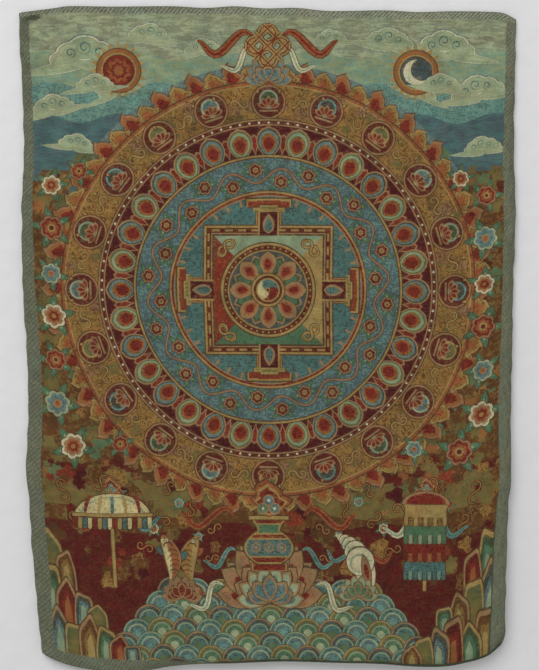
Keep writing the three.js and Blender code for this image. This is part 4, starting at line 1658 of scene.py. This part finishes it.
def plane(name, corners, material):
    mesh = bpy.data.meshes.new(name)
    mesh.from_pydata(corners, [], [(0, 1, 2, 3)])
    made = bpy.data.objects.new(name, mesh)
    mesh.materials.append(material)
    bpy.context.scene.collection.objects.link(made)
    return made


wall_paint, wall_thread, wall_surface = new_material("wall paint", Base_Color=(0.685, 0.685, 0.69, 1),
                                                     Roughness=0.9)
rays = wall_thread.node("ShaderNodeLightPath", {}, output="Is Camera Ray")
behind = wall_thread.node("ShaderNodeNewGeometry", {}, output="Backfacing")
seen = rays * (1 - behind)
clear = wall_thread.node("ShaderNodeBsdfTransparent")
painted_wall = Thread(wall_thread.tree, wall_surface.outputs[0])
shown = wall_thread.node("ShaderNodeMixShader", {}, {0: seen, 1: clear, 2: painted_wall})
wall_out = wall_thread.tree.nodes["Material Output"]
wall_thread.tree.links.new(shown.socket, wall_out.inputs["Surface"])
place = wall_thread.node("ShaderNodeTexCoord", output="Object")
lumps = wall_thread.node("ShaderNodeTexNoise", {}, {"Vector": place, "Scale": 60.0, "Detail": 2.0})
lumpy = wall_thread.node("ShaderNodeBump", {}, {"Height": lumps, "Strength": 0.4, "Distance": 0.003})
wall_thread.tree.links.new(lumpy.socket, wall_surface.inputs["Normal"])
wall_corners = [(x * WALL_HALF, WALL_BEHIND, z) for x, z in
                ((-1, FLOOR_DROP), (1, FLOOR_DROP), (1, WALL_TOP), (-1, WALL_TOP))]
wall = plane("wall", wall_corners, wall_paint)
floor_paint, _, _ = new_material("floor paint", Base_Color=(0.72, 0.72, 0.71, 1), Roughness=0.9)
floor_corners = [(x * FLOOR_HALF, y * FLOOR_HALF, FLOOR_DROP) for x, y in
                 ((-1, -1), (1, -1), (1, 1), (-1, 1))]
floor = plane("floor", floor_corners, floor_paint)
print(f"the wall is {WALL_BEHIND / MM:.1f} mm behind the top edge, the floor {-FLOOR_DROP} m below it")

# %% Light
ROOM_LIGHT = 0.50
world = bpy.data.worlds.new("room light")
world.use_nodes = True
world.node_tree.nodes["Background"].inputs["Color"].default_value = (1.0, 1.0, 1.0, 1)
world.node_tree.nodes["Background"].inputs["Strength"].default_value = ROOM_LIGHT
bpy.context.scene.world = world


def lamp(name, at, target, size, power):
    light = bpy.data.lights.new(name, "AREA")
    light.size, light.energy = size, power
    made = bpy.data.objects.new(name, light)
    made.location = at
    made.rotation_euler = (Vector(target) - Vector(at)).to_track_quat("-Z", "Y").to_euler()
    bpy.context.scene.collection.objects.link(made)
    print(f"{name}: {power} W over {size} m")


lamp("window", (-0.5, -1.5, 1.2), (0, 0, -0.2), 1.4, 30)

# %% Camera
AIM = Vector((1.5, 0.0, -199.0)) * MM
CAMERA_DISTANCE, CAMERA_RISE = 0.7295, math.radians(2.8)
camera = bpy.data.objects.new("camera", bpy.data.cameras.new("camera"))
camera.data.lens, camera.data.sensor_width = 64, 36
camera.data.clip_start = 0.01
camera.location = AIM + CAMERA_DISTANCE * Vector((0, -math.cos(CAMERA_RISE), math.sin(CAMERA_RISE)))
camera.rotation_euler = (math.pi / 2 - CAMERA_RISE, 0, 0)
bpy.context.scene.collection.objects.link(camera)
bpy.context.scene.camera = camera
bpy.context.scene.view_settings.view_transform = "Standard"
print("the camera stands at", [round(x, 3) for x in camera.location])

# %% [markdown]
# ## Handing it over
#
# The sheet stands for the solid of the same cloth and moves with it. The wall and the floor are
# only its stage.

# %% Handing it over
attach(cloth, "root")
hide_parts("thangka_cloth")
wall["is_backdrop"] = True
floor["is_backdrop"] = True
sizes = {"cad": [list(corner) for corner in cad_box], "visual": [list(corner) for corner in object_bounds()]}
for name, box_corners in sizes.items():
    print(f"the {name} box, in metres:", [[round(x, 4) for x in corner] for corner in box_corners])
